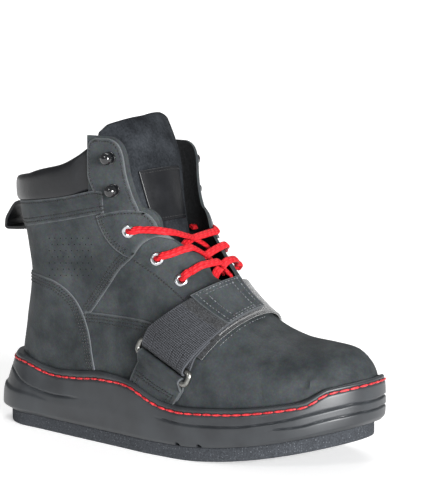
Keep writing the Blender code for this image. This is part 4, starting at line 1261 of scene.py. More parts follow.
def webbing():
    """Woven nylon webbing: crosswise ribs of pale and dark threads about 1 mm apart, paler selvedges."""
    made, tree, shader, at = blank("Ribbed nylon webbing", 0.8, Specular_IOR_Level=0.25, Sheen_Weight=0.05)
    ribs = add(
        tree, "ShaderNodeTexWave",
        {
            "Vector": at["UV"], "Scale": per_mm(1.5) / (2 * pi) * 2, "Distortion": 0.6, "Detail": 1.0,
            "Detail Scale": 3.0
        },
        bands_direction="X"
    )
    ends = add(
        tree, "ShaderNodeTexWave",
        {
            "Vector": at["UV"], "Scale": per_mm(1.3) / (2 * pi) * 2, "Distortion": 1.2, "Detail": 1.0,
            "Detail Scale": 4.0
        },
        bands_direction="Y"
    )
    weave = add(
        tree, "ShaderNodeMath", {0: ribs.outputs["Fac"], 1: ends.outputs["Fac"]}, operation="MULTIPLY"
    )
    fuzz = add(tree, "ShaderNodeTexNoise", {"Vector": at["UV"], "Scale": per_mm(1.2), "Detail": 3.0})
    both = add(tree, "ShaderNodeMath", {0: weave.outputs["Value"], 1: fuzz.outputs["Fac"]}, operation="ADD")
    tone = add(
        tree, "ShaderNodeValToRGB", {"Fac": both.outputs["Value"]},
        stops=((0.42, linear("#0c0d0f")), (1.0, linear("#46484d")))
    )
    # Painted highlight: the edge attribute marks the webbing's edges, which are mixed towards a paler grey
    edge_highlight_mask = add(tree, "ShaderNodeAttribute", attribute_name="edge")
    mixed = add(tree, "ShaderNodeMix", {0: edge_highlight_mask.outputs["Fac"]}, data_type="RGBA")
    tree.links.new(tone.outputs["Color"], mixed.inputs[6])
    mixed.inputs[7].default_value = linear("#44464b")
    tree.links.new(mixed.outputs[2], shader.inputs["Base Color"])
    bump = add(
        tree, "ShaderNodeBump", {"Height": weave.outputs["Value"], "Strength": 0.8, "Distance": 0.0005}
    )
    tree.links.new(bump.outputs["Normal"], shader.inputs["Normal"])
    return made


def pile():
    """Hook and loop tape, loop side out: a black fuzz with a few caught pale fibres."""
    made, tree, shader, at = blank("Black loop tape", 0.95, Specular_IOR_Level=0.2, Sheen_Weight=0.4)
    fuzz = add(
        tree, "ShaderNodeTexNoise",
        {"Vector": at["Object"], "Scale": per_mm(1.3), "Detail": 5.0, "Roughness": 0.8}
    )
    tone = add(
        tree, "ShaderNodeValToRGB", {"Fac": fuzz.outputs["Fac"]},
        stops=((0.45, linear("#0d0e10")), (0.75, linear("#3d4044")))
    )
    tree.links.new(tone.outputs["Color"], shader.inputs["Base Color"])
    bump = add(tree, "ShaderNodeBump", {"Height": fuzz.outputs["Fac"], "Strength": 1.0, "Distance": 0.0008})
    tree.links.new(bump.outputs["Normal"], shader.inputs["Normal"])
    return made


def braid():
    """Braided polyester lace: bright red strands in fine lengthwise plaits, paler on their crowns."""
    made, tree, shader, at = blank("Red braided lace", 0.62, Specular_IOR_Level=0.25)
    plait = add(
        tree, "ShaderNodeTexWave",
        {
            "Vector": at["UV"], "Scale": per_mm(1.3) / (2 * pi) * 2, "Distortion": 2.0, "Detail": 1.0,
            "Detail Scale": 2.0
        },
        bands_direction="Y"
    )
    cross = add(
        tree, "ShaderNodeTexWave",
        {"Vector": at["UV"], "Scale": per_mm(1.6) / (2 * pi) * 1.4, "Distortion": 1.0},
        bands_direction="DIAGONAL"
    )
    both = add(
        tree, "ShaderNodeMath", {0: plait.outputs["Fac"], 1: cross.outputs["Fac"]}, operation="MULTIPLY"
    )
    # Painted highlight: the colour follows the plait height that also drives the bump, so the raised crowns
    # are paler
    tone = add(
        tree, "ShaderNodeValToRGB", {"Fac": both.outputs["Value"]},
        stops=((0.0, linear("#a3101a")), (1.0, linear("#e4272e")))
    )
    tree.links.new(tone.outputs["Color"], shader.inputs["Base Color"])
    bump = add(
        tree, "ShaderNodeBump", {"Height": both.outputs["Value"], "Strength": 0.7, "Distance": 0.0005}
    )
    tree.links.new(bump.outputs["Normal"], shader.inputs["Normal"])
    return made


def thread(name, dark, light, roughness):
    """Bonded nylon sewing thread: two plies twisted, so it flickers from dark to light along its length."""
    made, tree, shader, at = blank(name, roughness)
    # Painted highlight: noise lightens the thread in spots along its length, in place of glints
    glint_noise = add(tree, "ShaderNodeTexNoise", {"Vector": at["Object"], "Scale": per_mm(1.7), "Detail": 2.0})
    tone = add(
        tree, "ShaderNodeValToRGB", {"Fac": glint_noise.outputs["Fac"]},
        stops=((0.4, linear(dark)), (0.65, linear(light)))
    )
    tree.links.new(tone.outputs["Color"], shader.inputs["Base Color"])
    return made


def metal(name, dark, light, roughness):
    """Plated steel wire or pressing: polished in a barrel, with slight smears that change its gloss."""
    made, tree, shader, at = blank(name, roughness, Metallic=1.0)
    smear = add(tree, "ShaderNodeTexNoise", {"Vector": at["Object"], "Scale": per_mm(4), "Detail": 3.0})
    tone = add(
        tree, "ShaderNodeValToRGB", {"Fac": smear.outputs["Fac"]},
        stops=((0, linear(dark)), (1, linear(light)))
    )
    tree.links.new(tone.outputs["Color"], shader.inputs["Base Color"])
    rough = add(
        tree, "ShaderNodeMapRange",
        {"Value": smear.outputs["Fac"], "To Min": roughness * 0.7, "To Max": roughness * 1.4}
    )
    tree.links.new(rough.outputs["Result"], shader.inputs["Roughness"])
    return made


def enamel():
    """Black enamel fired over a pressed steel hook: deep black with a hard, clear highlight."""
    made, tree, shader, at = blank("Black enamel", 0.12, Coat_Weight=0.6, Coat_Roughness=0.06)
    dust = add(tree, "ShaderNodeTexNoise", {"Vector": at["Object"], "Scale": per_mm(2.5), "Detail": 3.0})
    tone = add(
        tree, "ShaderNodeValToRGB", {"Fac": dust.outputs["Fac"]},
        stops=((0, linear("#0b0b0c")), (1, linear("#1a1b1d")))
    )
    tree.links.new(tone.outputs["Color"], shader.inputs["Base Color"])
    rough = add(tree, "ShaderNodeMapRange", {"Value": dust.outputs["Fac"], "To Min": 0.08, "To Max": 0.2})
    tree.links.new(rough.outputs["Result"], shader.inputs["Roughness"])
    return made


def hollow():
    """The dark inside of a punched hole."""
    made, tree, shader, at = blank("Punched hole", 1.0, Specular_IOR_Level=0.0)
    fibre = add(tree, "ShaderNodeTexNoise", {"Vector": at["Object"], "Scale": per_mm(0.8)})
    tone = add(
        tree, "ShaderNodeValToRGB", {"Fac": fibre.outputs["Fac"]},
        stops=((0, linear("#060606")), (1, linear("#141415")))
    )
    tree.links.new(tone.outputs["Color"], shader.inputs["Base Color"])
    return made


MAKERS = {
    "leather": oiled_leather,
    "suede": suede,
    "smooth": smooth_leather,
    "lining": lining,
    "rubber": rubber,
    "foam": foam,
    "webbing": webbing,
    "pile": pile,
    "braid": braid,
    "enamel": enamel,
    "hollow": hollow,
    "dark thread": lambda: thread("Black sewing thread", "#060607", "#1b1c1e", 0.5),
    "pale thread": lambda: thread("Grey sewing thread", "#303335", "#6c6f72", 0.5),
    "red thread": lambda: thread("Red welt thread", "#8f1019", "#d8343a", 0.45),
    "nickel": lambda: metal("Bright nickel plate", "#a9acb0", "#e3e5e8", 0.22),
    "pewter": lambda: metal("Dark pewter plate", "#6c6d6c", "#a09f99", 0.34),
}
MADE = {}


def finish(name):
    """The material of this name, made the first time it is asked for."""
    if name not in MADE:
        MADE[name] = MAKERS[name]()
    return MADE[name]

# The upper


def opening_loop(side):
    """Collar, lace facing and throat in the side view, closed round above the shaft."""
    seam_x = np.linspace(BACK_X - COLLAR_WIDE, FACING_STOP * LAST_LENGTH + BACK_X, 30)
    seam = np.column_stack([seam_x, seam_height(seam_x)])
    front = np.array([side_row(row, side) for row in FACING[:-3]])
    rear = np.array([[seam_x[-1], front[0, 1]]])
    far = np.array([side_row(row, side) for row in FACING[-3:]])
    curve = along_line(front, 0.002)
    return np.vstack([seam, rear, curve, far])


def make_upper():
    sections = form_sections(fan_lines(*FINE_UPPER), FINE_POINTS)
    mesh = loft("upper_leather", sections)
    lateral = max(mesh.polygons, key=lambda face: -face.center.y)
    if lateral.normal.y > 0:
        mesh.flip_normals()
    made = shown("upper_leather", mesh, finish("leather"), finish("lining"))
    wall = made.modifiers.new("Wall", "SOLIDIFY")
    wall.thickness = UPPER_WALL
    wall.offset = -1
    wall.material_offset = 1
    tools = bpy.data.collections.new("Cutters")
    for name, side in SIDES.items():
        near, far = sorted((-side * UPPER_WALL, side * SHAFT_WIDTH))
        cut(made, prism(f"opening_{name}", opening_loop(side), near, far, tools))
        for k, row in enumerate(EYELETS):
            mesh = rod(f"hole_{name}_{k + 1}", EYELET_HOLE - 0.0004, 10 * UPPER_WALL, 20, seat(row, side))
            cut(made, cutter(mesh.name, mesh, tools))
    plain(made)
    for tool in list(tools.objects):
        bpy.data.objects.remove(tool, do_unlink=True)
    tidied(made.data, 40)
    settled(made, "oiled_leather", "upper")


def loft(name, sections):
    sections = np.asarray(sections)
    rows, count = sections.shape[:2]
    r, k = np.meshgrid(np.arange(rows - 1), np.arange(count - 1), indexing="ij")
    a = (r * count + k).ravel()
    faces = np.column_stack([a, a + 1, a + 1 + count, a + count])
    return welded(name, sections.reshape(-1, 3), faces)


def welded(name, points, faces):
    """A mesh with its doubles merged and its faces turned out."""
    mesh = bpy.data.meshes.new(name)
    mesh.from_pydata(
        np.asarray(points).reshape(-1, 3).tolist(), [], [tuple(int(i) for i in f) for f in faces]
    )
    built = bmesh.new()
    built.from_mesh(mesh)
    bmesh.ops.remove_doubles(built, verts=built.verts, dist=2e-6)
    bmesh.ops.dissolve_degenerate(built, edges=built.edges, dist=2e-6)
    bmesh.ops.recalc_face_normals(built, faces=built.faces)
    built.to_mesh(mesh)
    built.free()
    mesh.shade_smooth()
    return mesh


def skin(name, sections, ends=True, sharp=50):
    """A closed solid through sections of equal count, each a closed loop, with ladders over its ends."""
    sections = np.asarray(sections)
    rows, count = sections.shape[:2]
    r, k = np.meshgrid(np.arange(rows - 1), np.arange(count), indexing="ij")
    a, b = (r * count + k).ravel(), (r * count + (k + 1) % count).ravel()
    faces = [tuple(f) for f in np.column_stack([a, b, b + count, a + count])]
    if ends:
        for start in (0, (rows - 1) * count):
            for k in range(count // 2 - 1):
                a, b = start + k, start + count - 1 - k
                faces.append((a, a + 1, b - 1, b))
    mesh = welded(name, sections, faces)
    mesh.set_sharp_from_angle(angle=radians(sharp))
    return mesh


def counter_loop():
    top = round_back(COUNTER_EDGE, COUNTER_BACK)
    low = np.array([[0.0, FOOTBED + 0.0015]])
    foot = along_line(
        np.vstack(
            [top[-1:], [[top[-1, 0] * 0.5, low[0, 1]]], low, [[top[0, 0] * 0.5, low[0, 1]]], top[:1]]
        ),
        LINE_STEP
    )
    return joined_loop(top, foot)


def quarter_loop():
    seam_u = np.linspace(-1, 1, 160)
    x = BACK_X + 0.344 * LAST_LENGTH
    reach = UNROLL * np.sqrt(x - back_of(seam_height(x)))
    top = []
    for u in seam_u * reach:
        z = seam_height(BACK_X)
        for _ in range(3):
            z = seam_height(back_of(z) + (u / UNROLL) ** 2)
        top.append((u, z - 0.001))
    top = np.array(top)
    rises = {}
    for side in (LATERAL, MEDIAL):
        rises[side] = side_line(QUARTER_FRONT, side)
    low = np.array([[0.0, 0.27 * SHAFT_HEIGHT + FOOTBED]])
    right = rises[MEDIAL]
    left = rises[LATERAL]
    return joined_loop(
        top, straight(top[-1], right[0]), right, straight(right[-1], low[0]), straight(low[0], left[-1]),
        left[::-1], straight(left[0], top[0])
    )


def band_loop():
    x = BACK_X + 0.350 * LAST_LENGTH
    reach = UNROLL * np.sqrt(x - back_of(seam_height(x)))
    top = []
    for u in np.linspace(-1, 1, 160) * reach:
        z = seam_height(BACK_X)
        for _ in range(3):
            z = seam_height(back_of(z) + (u / UNROLL) ** 2)
        top.append((u, z + 0.0004))
    bottom = round_back(BAND_BOTTOM, BAND_BACK)
    return joined_loop(
        np.array(top), straight(top[-1], bottom[-1]), bottom[::-1], straight(bottom[0], top[0])
    )


def lower_loop(side):
    top = side_line(LOWER_TOP, side)
    low = FOOTBED + 0.0012
    front = unrolled(np.array([[0.520 * LAST_LENGTH + BACK_X, low]]), side)[0]
    back = unrolled(np.array([[0.270 * LAST_LENGTH + BACK_X, low]]), side)[0]
    return joined_loop(top, straight(top[-1], front), straight(front, back), straight(back, top[0]))


def stay_loop(side):
    top = side_line(STAY_TOP, side)
    back = side_line(STAY_BACK, side)
    front = side_line(THROAT_FRONT, side)
    low = side_line(QUARTER_FRONT, side)
    near = np.argmin(np.linalg.norm(low - back[-1], axis=1))
    run = low[: near + 1]
    return joined_loop(top, front, run, straight(run[-1], back[-1]), back[::-1])


def hook_loop(side):
    front, back = side_line(HOOK_FRONT, side), side_line(HOOK_BACK, side)
    return joined_loop(front, straight(front[-1], back[-1]), back[::-1])


def make_panels():
    leather = finish("leather")
    cut_leather("shaft_panel", quarter_loop(), QUARTER_LIFT, leather)
    cut_leather("heel_band", band_loop(), BAND_LIFT, leather)
    cut_leather("heel_counter", counter_loop(), COUNTER_LIFT, leather)
    for name, side in SIDES.items():
        cut_leather(f"lower_quarter_{name}", lower_loop(side), LOWER_LIFT, leather)
        cut_leather(f"hook_facing_{name}", hook_loop(side), HOOK_LIFT, leather)
        cut_leather(f"eyelet_stay_{name}", stay_loop(side), STAY_LIFT, leather)


def make_sewing():
    rows = []
    for k in range(3):
        rows.append(
            draped(round_back(COUNTER_EDGE, COUNTER_BACK, -SEWING_INSET - SEWING_GAP * k), COUNTER_LIFT)
        )
    for offset in (0.0024, 0.0050):
        rows.append(draped(round_back(BAND_BOTTOM, BAND_BACK, offset), BAND_LIFT))
    top = band_loop()[:160]
    rows.append(draped(top - (0, SEWING_INSET), BAND_LIFT))
    for side in (LATERAL, MEDIAL):
        for k in range(3):
            rows.append(
                draped(side_line(QUARTER_FRONT[2:], side, -SEWING_INSET - SEWING_GAP * k), QUARTER_LIFT)
            )
            rows.append(draped(side_line(LOWER_TOP, side, -SEWING_INSET - SEWING_GAP * k), LOWER_LIFT))
        for offset in (0.0020, 0.0046):
            rows.append(draped(side_line(STAY_BACK, side, offset), STAY_LIFT))
        rows.append(draped(side_line(STAY_TOP, side, -SEWING_INSET), STAY_LIFT))
        rows.append(draped(side_line(HOOK_FRONT, side, -SEWING_INSET), HOOK_LIFT))
        rows.append(draped(side_line(HOOK_BACK, side, SEWING_INSET), HOOK_LIFT))
        rows.append(draped(side_line(FRONT_SEAM, side), 0.0001))
    sewn("upper_sewing", rows, finish("dark thread"), 0.0024, 0.0018, 0.001, "oiled_leather")


def make_perforations():
    for name, side in SIDES.items():
        a, b, c, d = placed(PERFORATED, side)
        points = []
        for i in range(PERFORATION_ROWS):
            for k in range(PERFORATION_COLUMNS):
                s, t = (k + 0.5 * (i % 2)) / PERFORATION_COLUMNS, i / (PERFORATION_ROWS - 1)
                points.append((a * (1 - s) + b * s) * (1 - t) + (d * (1 - s) + c * s) * t)
        points = np.array(points)
        spots = lifted(points[:, 0], points[:, 1], side, QUARTER_LIFT - 0.0002)
        outward = normals(surface(points[:, 0], points[:, 1], side), side)
        mesh = bpy.data.meshes.new(f"perforations_{name}")
        mesh.from_pydata(spots.tolist(), [], [])
        mesh.attributes.new("outward", "FLOAT_VECTOR", "POINT").data.foreach_set(
            "vector", outward.astype(np.float32).ravel()
        )
        made = bpy.data.objects.new(f"perforations_{name}", mesh)
        bpy.context.scene.collection.objects.link(made)
        # The holes are not cut: dark plugs paint the lining seen through them and the shade inside them
        tree = bpy.data.node_groups.get("Punched holes") or hole_tree()
        values = {"Radius": 0.0004, "Depth": 0.0005, "Inside": finish("hollow")}
        settled(grown_by(made, tree, values), "oiled_leather")


def rounded(turn, power):
    """Cosine and sine of a turn, squared off by a power below 1."""
    c, s = np.cos(turn), np.sin(turn)
    return np.sign(c) * np.abs(c) ** power, np.sign(s) * np.abs(s) ** power


def make_collar():
    turn = np.linspace(0, 2 * pi, 36, endpoint=False)
    out, up = rounded(turn, 0.62)
    share = 0.5 + 0.5 * up
    middle, half = (COLLAR_OUT - COLLAR_IN) / 2, (COLLAR_OUT + COLLAR_IN) / 2
    sections = []
    angles = np.linspace(0, pi, 84)
    for side, steps in ((LATERAL, angles), (MEDIAL, angles[::-1][1:])):
        for angle in steps:
            end_x = FACING_STOP * LAST_LENGTH + BACK_X + 0.0022
            z = seam_height(end_x) + share * collar_height(end_x)
            for _ in range(4):
                x = back_of(z) + (end_x - back_of(z)) * (1 + cos(angle)) / 2
                z = seam_height(x) + share * collar_height(x)
            spot = surface(x, z, side)
            near_end = ease(0, 0.016, end_x - x)
            fold = np.array([noise.noise(Vector((p[0] * 42, p[1] * 42, p[2] * 20))) for p in spot])
            swell = middle + half * out * (0.45 + 0.55 * near_end) + np.where(out > 0, fold * 0.0013, 0)
            sections.append(lifted(x, z, side, swell - 0.0014 * (1 - near_end)))
    made = shown("collar_pad", skin("collar_pad", sections), finish("smooth"))
    settled(made, "smooth_leather", "collar")


# The tongue


def tongue_table():
    centre = np.array(side_points(TONGUE))
    run = np.concatenate([[0], np.cumsum(np.hypot(*np.diff(centre, axis=0).T))])
    return centre, run


def on_tongue(at, across, lift):
    """A place on the tongue's outer face: along it in metres, across it in shares of its half width."""
    at, across, lift = np.broadcast_arrays(at, across, lift)
    x, z, half = tongue_line(at)
    step = 5e-4
    ahead, behind = tongue_line(at + step), tongue_line(at - step)
    slope = np.stack([ahead[0] - behind[0], ahead[1] - behind[1]], axis=-1)
    slope /= np.linalg.norm(slope, axis=-1, keepdims=True)
    back = TONGUE_ARCH * across * across - lift
    return np.stack([x - slope[..., 1] * back, across * half, z + slope[..., 0] * back], axis=-1)


def tongue_line(at):
    centre, run = tongue_table()
    x, z = (smooth_steps(run, centre[:, k], at) for k in range(2))
    half = smooth_steps(run, column(TONGUE, "half"), at) * SHAFT_WIDTH
    return x, z, half


TONGUE_CORNER_RISE = 0.006
TONGUE_FLARE = 0.12
TONGUE_CORNER = 0.013
TONGUE_INNER_CORNER = 0.005
TONGUE_SOFT_TOP = 0.0022
TONGUE_WAVE = 0.0012


def rumpled(spots):
    """Height of the soft waves in the tongue's leather at each place."""
    return np.array([noise.noise(Vector((p[0] * 30, p[1] * 45, p[2] * 26))) for p in spots]) * TONGUE_WAVE


def make_tongue():
    length = tongue_table()[1][-1]
    turn = np.linspace(0, 2 * pi, 56, endpoint=False)
    wide, deep = rounded(turn, 0.55)
    corner = TONGUE_CORNER
    soft = TONGUE_SOFT_TOP
    top, below = (np.array(tongue_line(at)[:2], dtype=float) for at in (length, length - 0.006))
    upward = np.insert((top - below) / np.linalg.norm(top - below), 1, 0)
    sections = []
    rising = length - corner + corner * np.sin(np.linspace(0, 1, 16)[1:] * pi / 2)
    for at in np.concatenate([np.linspace(0, length - corner, 60), rising]):
        half = tongue_line(at)[2]
        turning = np.where(wide > 0, TONGUE_INNER_CORNER, corner)
        past = np.clip((at - (length - turning)) / turning, 0, 1)
        narrow = 1 - (1 - np.sqrt(1 - past**2)) * turning * 0.8 / half
        thin = np.sqrt(np.clip(1 - np.clip((at - (length - soft)) / soft, 0, 1) ** 2, 0.02, 1))
        lift = -TONGUE_THICKNESS / 2 + deep * TONGUE_THICKNESS / 2 * thin
        across = wide * narrow * (1 + TONGUE_FLARE * (wide > 0) * ease(length - 0.04, length, at))
        raised_corner = TONGUE_CORNER_RISE * np.clip(across, 0, 1) * ease(length - 0.03, length, at)
        spots = on_tongue(at, across, lift)
        wave = rumpled(spots)
        sections.append(on_tongue(at, across, lift + wave) + np.outer(raised_corner, upward))
    made = shown("tongue_leather", skin("tongue_leather", sections, sharp=70), finish("suede"))
    settled(made, "oiled_leather", "tongue")
    make_label(length)


def make_label(length):
    """A bare leather patch sewn across the tongue."""
    centre, run = tongue_table()
    low, high = (np.interp(h, centre[:, 1], run) for h in (0.156, 0.192))
    ats = np.linspace(low, high, 22)
    across = np.linspace(-0.60, 0.60, 30)
    grid = np.stack(np.meshgrid(ats, across, indexing="ij"), axis=-1).reshape(-1, 2)
    faces = []
    for i in range(21):
        for k in range(29):
            a = i * 30 + k
            faces.append((a, a + 1, a + 31, a + 30))
    spots = on_tongue(grid[:, 0], grid[:, 1], 0.0)
    wave = rumpled(spots)
    outer = on_tongue(grid[:, 0], grid[:, 1], 0.0012 + wave)
    mesh = walled("tongue_patch", outer, on_tongue(grid[:, 0], grid[:, 1], -0.0008 + wave), faces)
    settled(rounded_rim(shown("tongue_patch", mesh, finish("smooth")), 0.0005), "oiled_leather")
    rows = []
    for at in (low + 0.0022, high - 0.0022):
        spots = on_tongue(at, np.linspace(-0.56, 0.56, 60), 0.0)
        wave = rumpled(spots)
        rows.append(on_tongue(at, np.linspace(-0.56, 0.56, 60), 0.0013 + wave))
    sewn("tongue_sewing", rows, finish("dark thread"), 0.0024, 0.0019, 0.0008, "oiled_leather")


# The sole


def slot_lines(x, z):
    """Depth cut into the sole's side at a place: the grooves, the heel ledge and the stitch channel."""
    along, up = (x + PAD_LENGTH / 2) * 1000, z * 1000
    depth = np.zeros(np.broadcast(along, up).shape)
    for rows, deep, wide in ((HEEL_GROOVE, 1.2, 0.6), (BALL_GROOVE, 1.3, 0.65), (TOE_GROOVE, 1.2, 0.55)):
        line = smooth_steps(column(rows, "along"), column(rows, "up"), along)
        first, last = rows[0].along, rows[-1].along
        shown_here = ease(first - 1, first + 9, along) if first > 0 else 1
        if last < 200:
            shown_here = shown_here * (1 - ease(last - 14, last, along))
        depth = depth + deep * np.exp(-(((up - line) / wide) ** 2)) * shown_here
    ledge = smooth_steps(column(HEEL_LEDGE, "along"), column(HEEL_LEDGE, "up"), along)
    depth = depth - 1.3 * (1 - ease(ledge - 0.9, ledge + 0.5, up)) * (1 - ease(34, 62, along)) * ease(
        10, 14, up
    )
    return depth / 1000


def wall_rows():
    return [(row.back, row.heel, row.ball, row.toe) for row in SIDE_WALL]


def wall_grown(share, height):
    """How far the side wall stands past the pad at a share of its height, for each station."""
    table = np.array([smooth_steps(WALL_ZONES, row, share) for row in wall_rows()])
    heights = column(SIDE_WALL, "height")
    height = np.broadcast_to(height, len(share))
    return np.array([smooth_steps(heights, table[:, k], height[k]) for k in range(len(share))])


def channel_height(x):
    """Height of the red stitching in the sole's side."""
    share = x / PAD_LENGTH + 0.5
    places = (-0.05, 0.10, 0.22, 0.36, 0.46, 0.60, 1.05)
    return smooth_steps(places, (4.4, 4.2, 4.6, 5.4, 4.0, 3.8, 3.6), share) / 1000


def make_outsole():
    count = 170
    share = row_shares(count)
    levels = []
    lift = np.linspace(0, 1, 64)
    for height in lift:
        grown = wall_grown(share, height)
        ring = []
        for base in outline(count, grown):
            x, y = base.T
            low = underside(x)
            z = low + (lip(x, y) - low) * height
            channel = np.exp(-(((lip(x, y) - channel_height(x) - z) / 0.0011) ** 2)) * 0.0009
            ring.append((x, z, slot_lines(x, z) + channel))
        both = outline(count, grown)
        moved = grow_each(both, [-r[2] for r in ring])
        levels.append([raised(row, r[1]) for row, r in zip(moved, ring)])
    for level_share in (1.0, 0.85, 0.7, 0.5, 0.35, 0.0):
        levels.append(form_rows(count, up_wall(level_share), WALL_GAP * 0.6))
    made = shown("outsole_rubber", stack("outsole_rubber", levels), finish("rubber"))
    tools = bpy.data.collections.new("Cutters")
    for k, at in enumerate(CHANNEL_SHARES):
        x = (at - 0.5) * PAD_LENGTH
        turn = Matrix.Translation((x, 0, underside(x))) @ Matrix.Rotation(pi / 2, 4, "X")
        mesh = rod(f"flex_channel_{k + 1}", CHANNEL_RADIUS, BALL_WIDTH * 1.5, 24, turn)
        cut(made, cutter(mesh.name, mesh, tools))
    plain(made)
    for tool in list(tools.objects):
        bpy.data.objects.remove(tool, do_unlink=True)
    made.data.set_sharp_from_angle(angle=radians(40))
    settled(made, "moulded_rubber", "outsole")
    sole_sewing(count)


def grow_each(rows, more):
    """As grow, with an amount for each point of the two rows."""
    count = len(rows[0])
    loop = np.vstack([rows[0], rows[1][-2:0:-1]])
    tangent = np.roll(loop, -1, axis=0) - np.roll(loop, 1, axis=0)
    normal = np.column_stack([tangent[:, 1], -tangent[:, 0]])
    normal /= np.linalg.norm(normal, axis=1)[:, None]
    loop = loop + normal * np.concatenate([more[0], more[1][-2:0:-1]])[:, None]
    return [loop[:count], np.vstack([loop[:1], loop[: count - 2 : -1]])]


def sole_sewing(count):
    share = row_shares(count)
    base = outline(count)
    line = []
    for row in base:
        x, y = row.T
        low = underside(x)
        top = lip(x, y)
        line.append((top - channel_height(x) - low) / (top - low))
    grown = np.array(wall_grown(share, line[0]))
    rows = grow_each(base, [grown - 0.0001, grown - 0.0001])
    path = []
    for row in rows:
        x, y = row.T
        path.append(raised(row, lip(x, y) - channel_height(x)))
    loop = np.vstack([path[0], path[1][-2:0:-1], path[0][:1]])
    sewn("sole_sewing", [loop], finish("red thread"), 0.0078, 0.0080, 0.0017, "red_braid", seed=4)


def stack(name, levels):
    """A solid from matched lateral and medial rows: walls between levels, ladders over first and last."""
    count = len(levels[0][0])
    rings = np.array([np.vstack([lateral, medial[::-1]]) for lateral, medial in levels])
    size = 2 * count
    r, k = np.meshgrid(np.arange(len(rings) - 1), np.arange(size), indexing="ij")
    a, b = (r * size + k).ravel(), (r * size + (k + 1) % size).ravel()
    faces = [tuple(f) for f in np.column_stack([a, b, b + size, a + size])]
    for r in (0, len(rings) - 1):
        for k in range(count - 1):
            a, b = r * size + k, r * size + size - 1 - k
            faces.append((a, a + 1, b - 1, b))
    mesh = welded(name, rings, faces)
    mesh.set_sharp_from_angle(angle=radians(45))
    return mesh


def make_pad():
    count = 150
    levels = []
    for height, inset in (
        (0, 0.0010), (0.0004, 0.0003), (0.0012, 0), (0.0086, 0), (0.0094, 0.0003), (PAD_THICKNESS, 0.0010)
    ):
        levels.append([raised(row, spring(row[:, 0]) + height) for row in outline(count, -inset)])
    made = shown("foam_pad", stack("foam_pad", levels), finish("foam"))
    settled(made, "foam_rubber", "traction_pad")


def make_insole():
    inset = -(UPPER_WALL + INSOLE_GAP)
    levels = []
    for height, more in ((SEAT_GAP, 0), (INSOLE_THICKNESS - 0.0008, 0), (INSOLE_THICKNESS, 0.0009)):
        levels.append(form_rows(110, above_bed(SEAT_GAP + height), inset - more))
    settled(
        shown("insole_cloth", stack("insole_cloth", levels), finish("lining")), "footbed_cloth", "insole"
    )

# The strap, its rings and tabs

STRAP_STATIONS = 26
WEB_HALF = 0.00075


def bar_turn(ring, share, radius, first, last, steps=9):
    """Points round the ring's bar, from one angle to another; 90 faces out and 0 points down the boot."""
    angles = np.radians(np.linspace(first, last, steps))
    return [ring.point(share, -radius * cos(a), radius * sin(a)) for a in angles]


def on_ways(ring, share, ways, lift):
    return [
        on_strap(ring, share, way, height) for way, height in zip(ways, np.broadcast_to(lift, len(ways)))
    ]


def ribbon(name, paths, half, sides, finish_name, rim=0.0004):
    """A flat band through matched paths across its width, with ribs along its own UV map and paler edges.

    sides: the outward direction at each point of each path.
    """
    paths, sides = np.asarray(paths), np.asarray(sides)
    across, along = paths.shape[:2]
    outer = (paths + sides * half).reshape(-1, 3)
    inner = (paths - sides * half).reshape(-1, 3)
    faces = []
    for i in range(across - 1):
        for k in range(along - 1):
            a = i * along + k
            faces.append((a, a + 1, a + 1 + along, a + along))
    mesh = walled(name, outer, inner, faces)
    run = np.concatenate([[0], np.cumsum(np.linalg.norm(np.diff(paths[across // 2], axis=0), axis=1))])
    wide = np.concatenate([[0], np.cumsum(np.linalg.norm(np.diff(paths[:, along // 2], axis=0), axis=1))])
    flat = np.stack(np.meshgrid(wide, run, indexing="ij"), axis=-1)[..., ::-1].reshape(-1, 2)
    flat = np.vstack([flat, flat])
    index = np.empty(len(mesh.loops), np.int32)
    mesh.loops.foreach_get("vertex_index", index)
    mesh.uv_layers.new(name="Ribs").data.foreach_set("uv", flat[index].astype(np.float32).ravel())
    return rounded_rim(shown(name, mesh, finish(finish_name)), rim)


def directions(paths):
    """Outward directions of a grid of paths, from its own slopes."""
    paths = np.asarray(paths)
    along = np.gradient(paths, axis=1)
    wide = np.gradient(paths, axis=0)
    out = np.cross(wide, along)
    return out / np.linalg.norm(out, axis=-1, keepdims=True)


def facing_out(sides, paths):
    middle = np.array([0.03, 0.0, 0.05])
    if (sides * (paths - middle))[:, : paths.shape[1] // 3].sum() < 0:
        return -sides
    return sides


def web_loop(ring, top_way, turn_back, low, high):
    """Webbing that comes down the boot, round the ring's bar and a little way back under itself."""
    paths = []
    for share in np.linspace(0, 1, STRAP_STATIONS):
        down = np.linspace(top_way, 0, 22)
        heights = high + 0.0008 * (1 - ease(0, 0.25, down))
        path = on_ways(ring, share, down, heights)
        path += bar_turn(ring, share, 0.0033, 90, -90)
        path += on_ways(ring, share, np.linspace(0, turn_back, 9), low)
        paths.append(along_line(path, 0.0009 * 2))
    fewest = min(len(p) for p in paths)
    even = []
    for p in paths:
        at = np.linspace(0, len(p) - 1, fewest)
        even.append(np.column_stack([np.interp(at, np.arange(len(p)), p[:, k]) for k in range(3)]))
    paths = np.array(even)
    return paths, facing_out(directions(paths), paths)


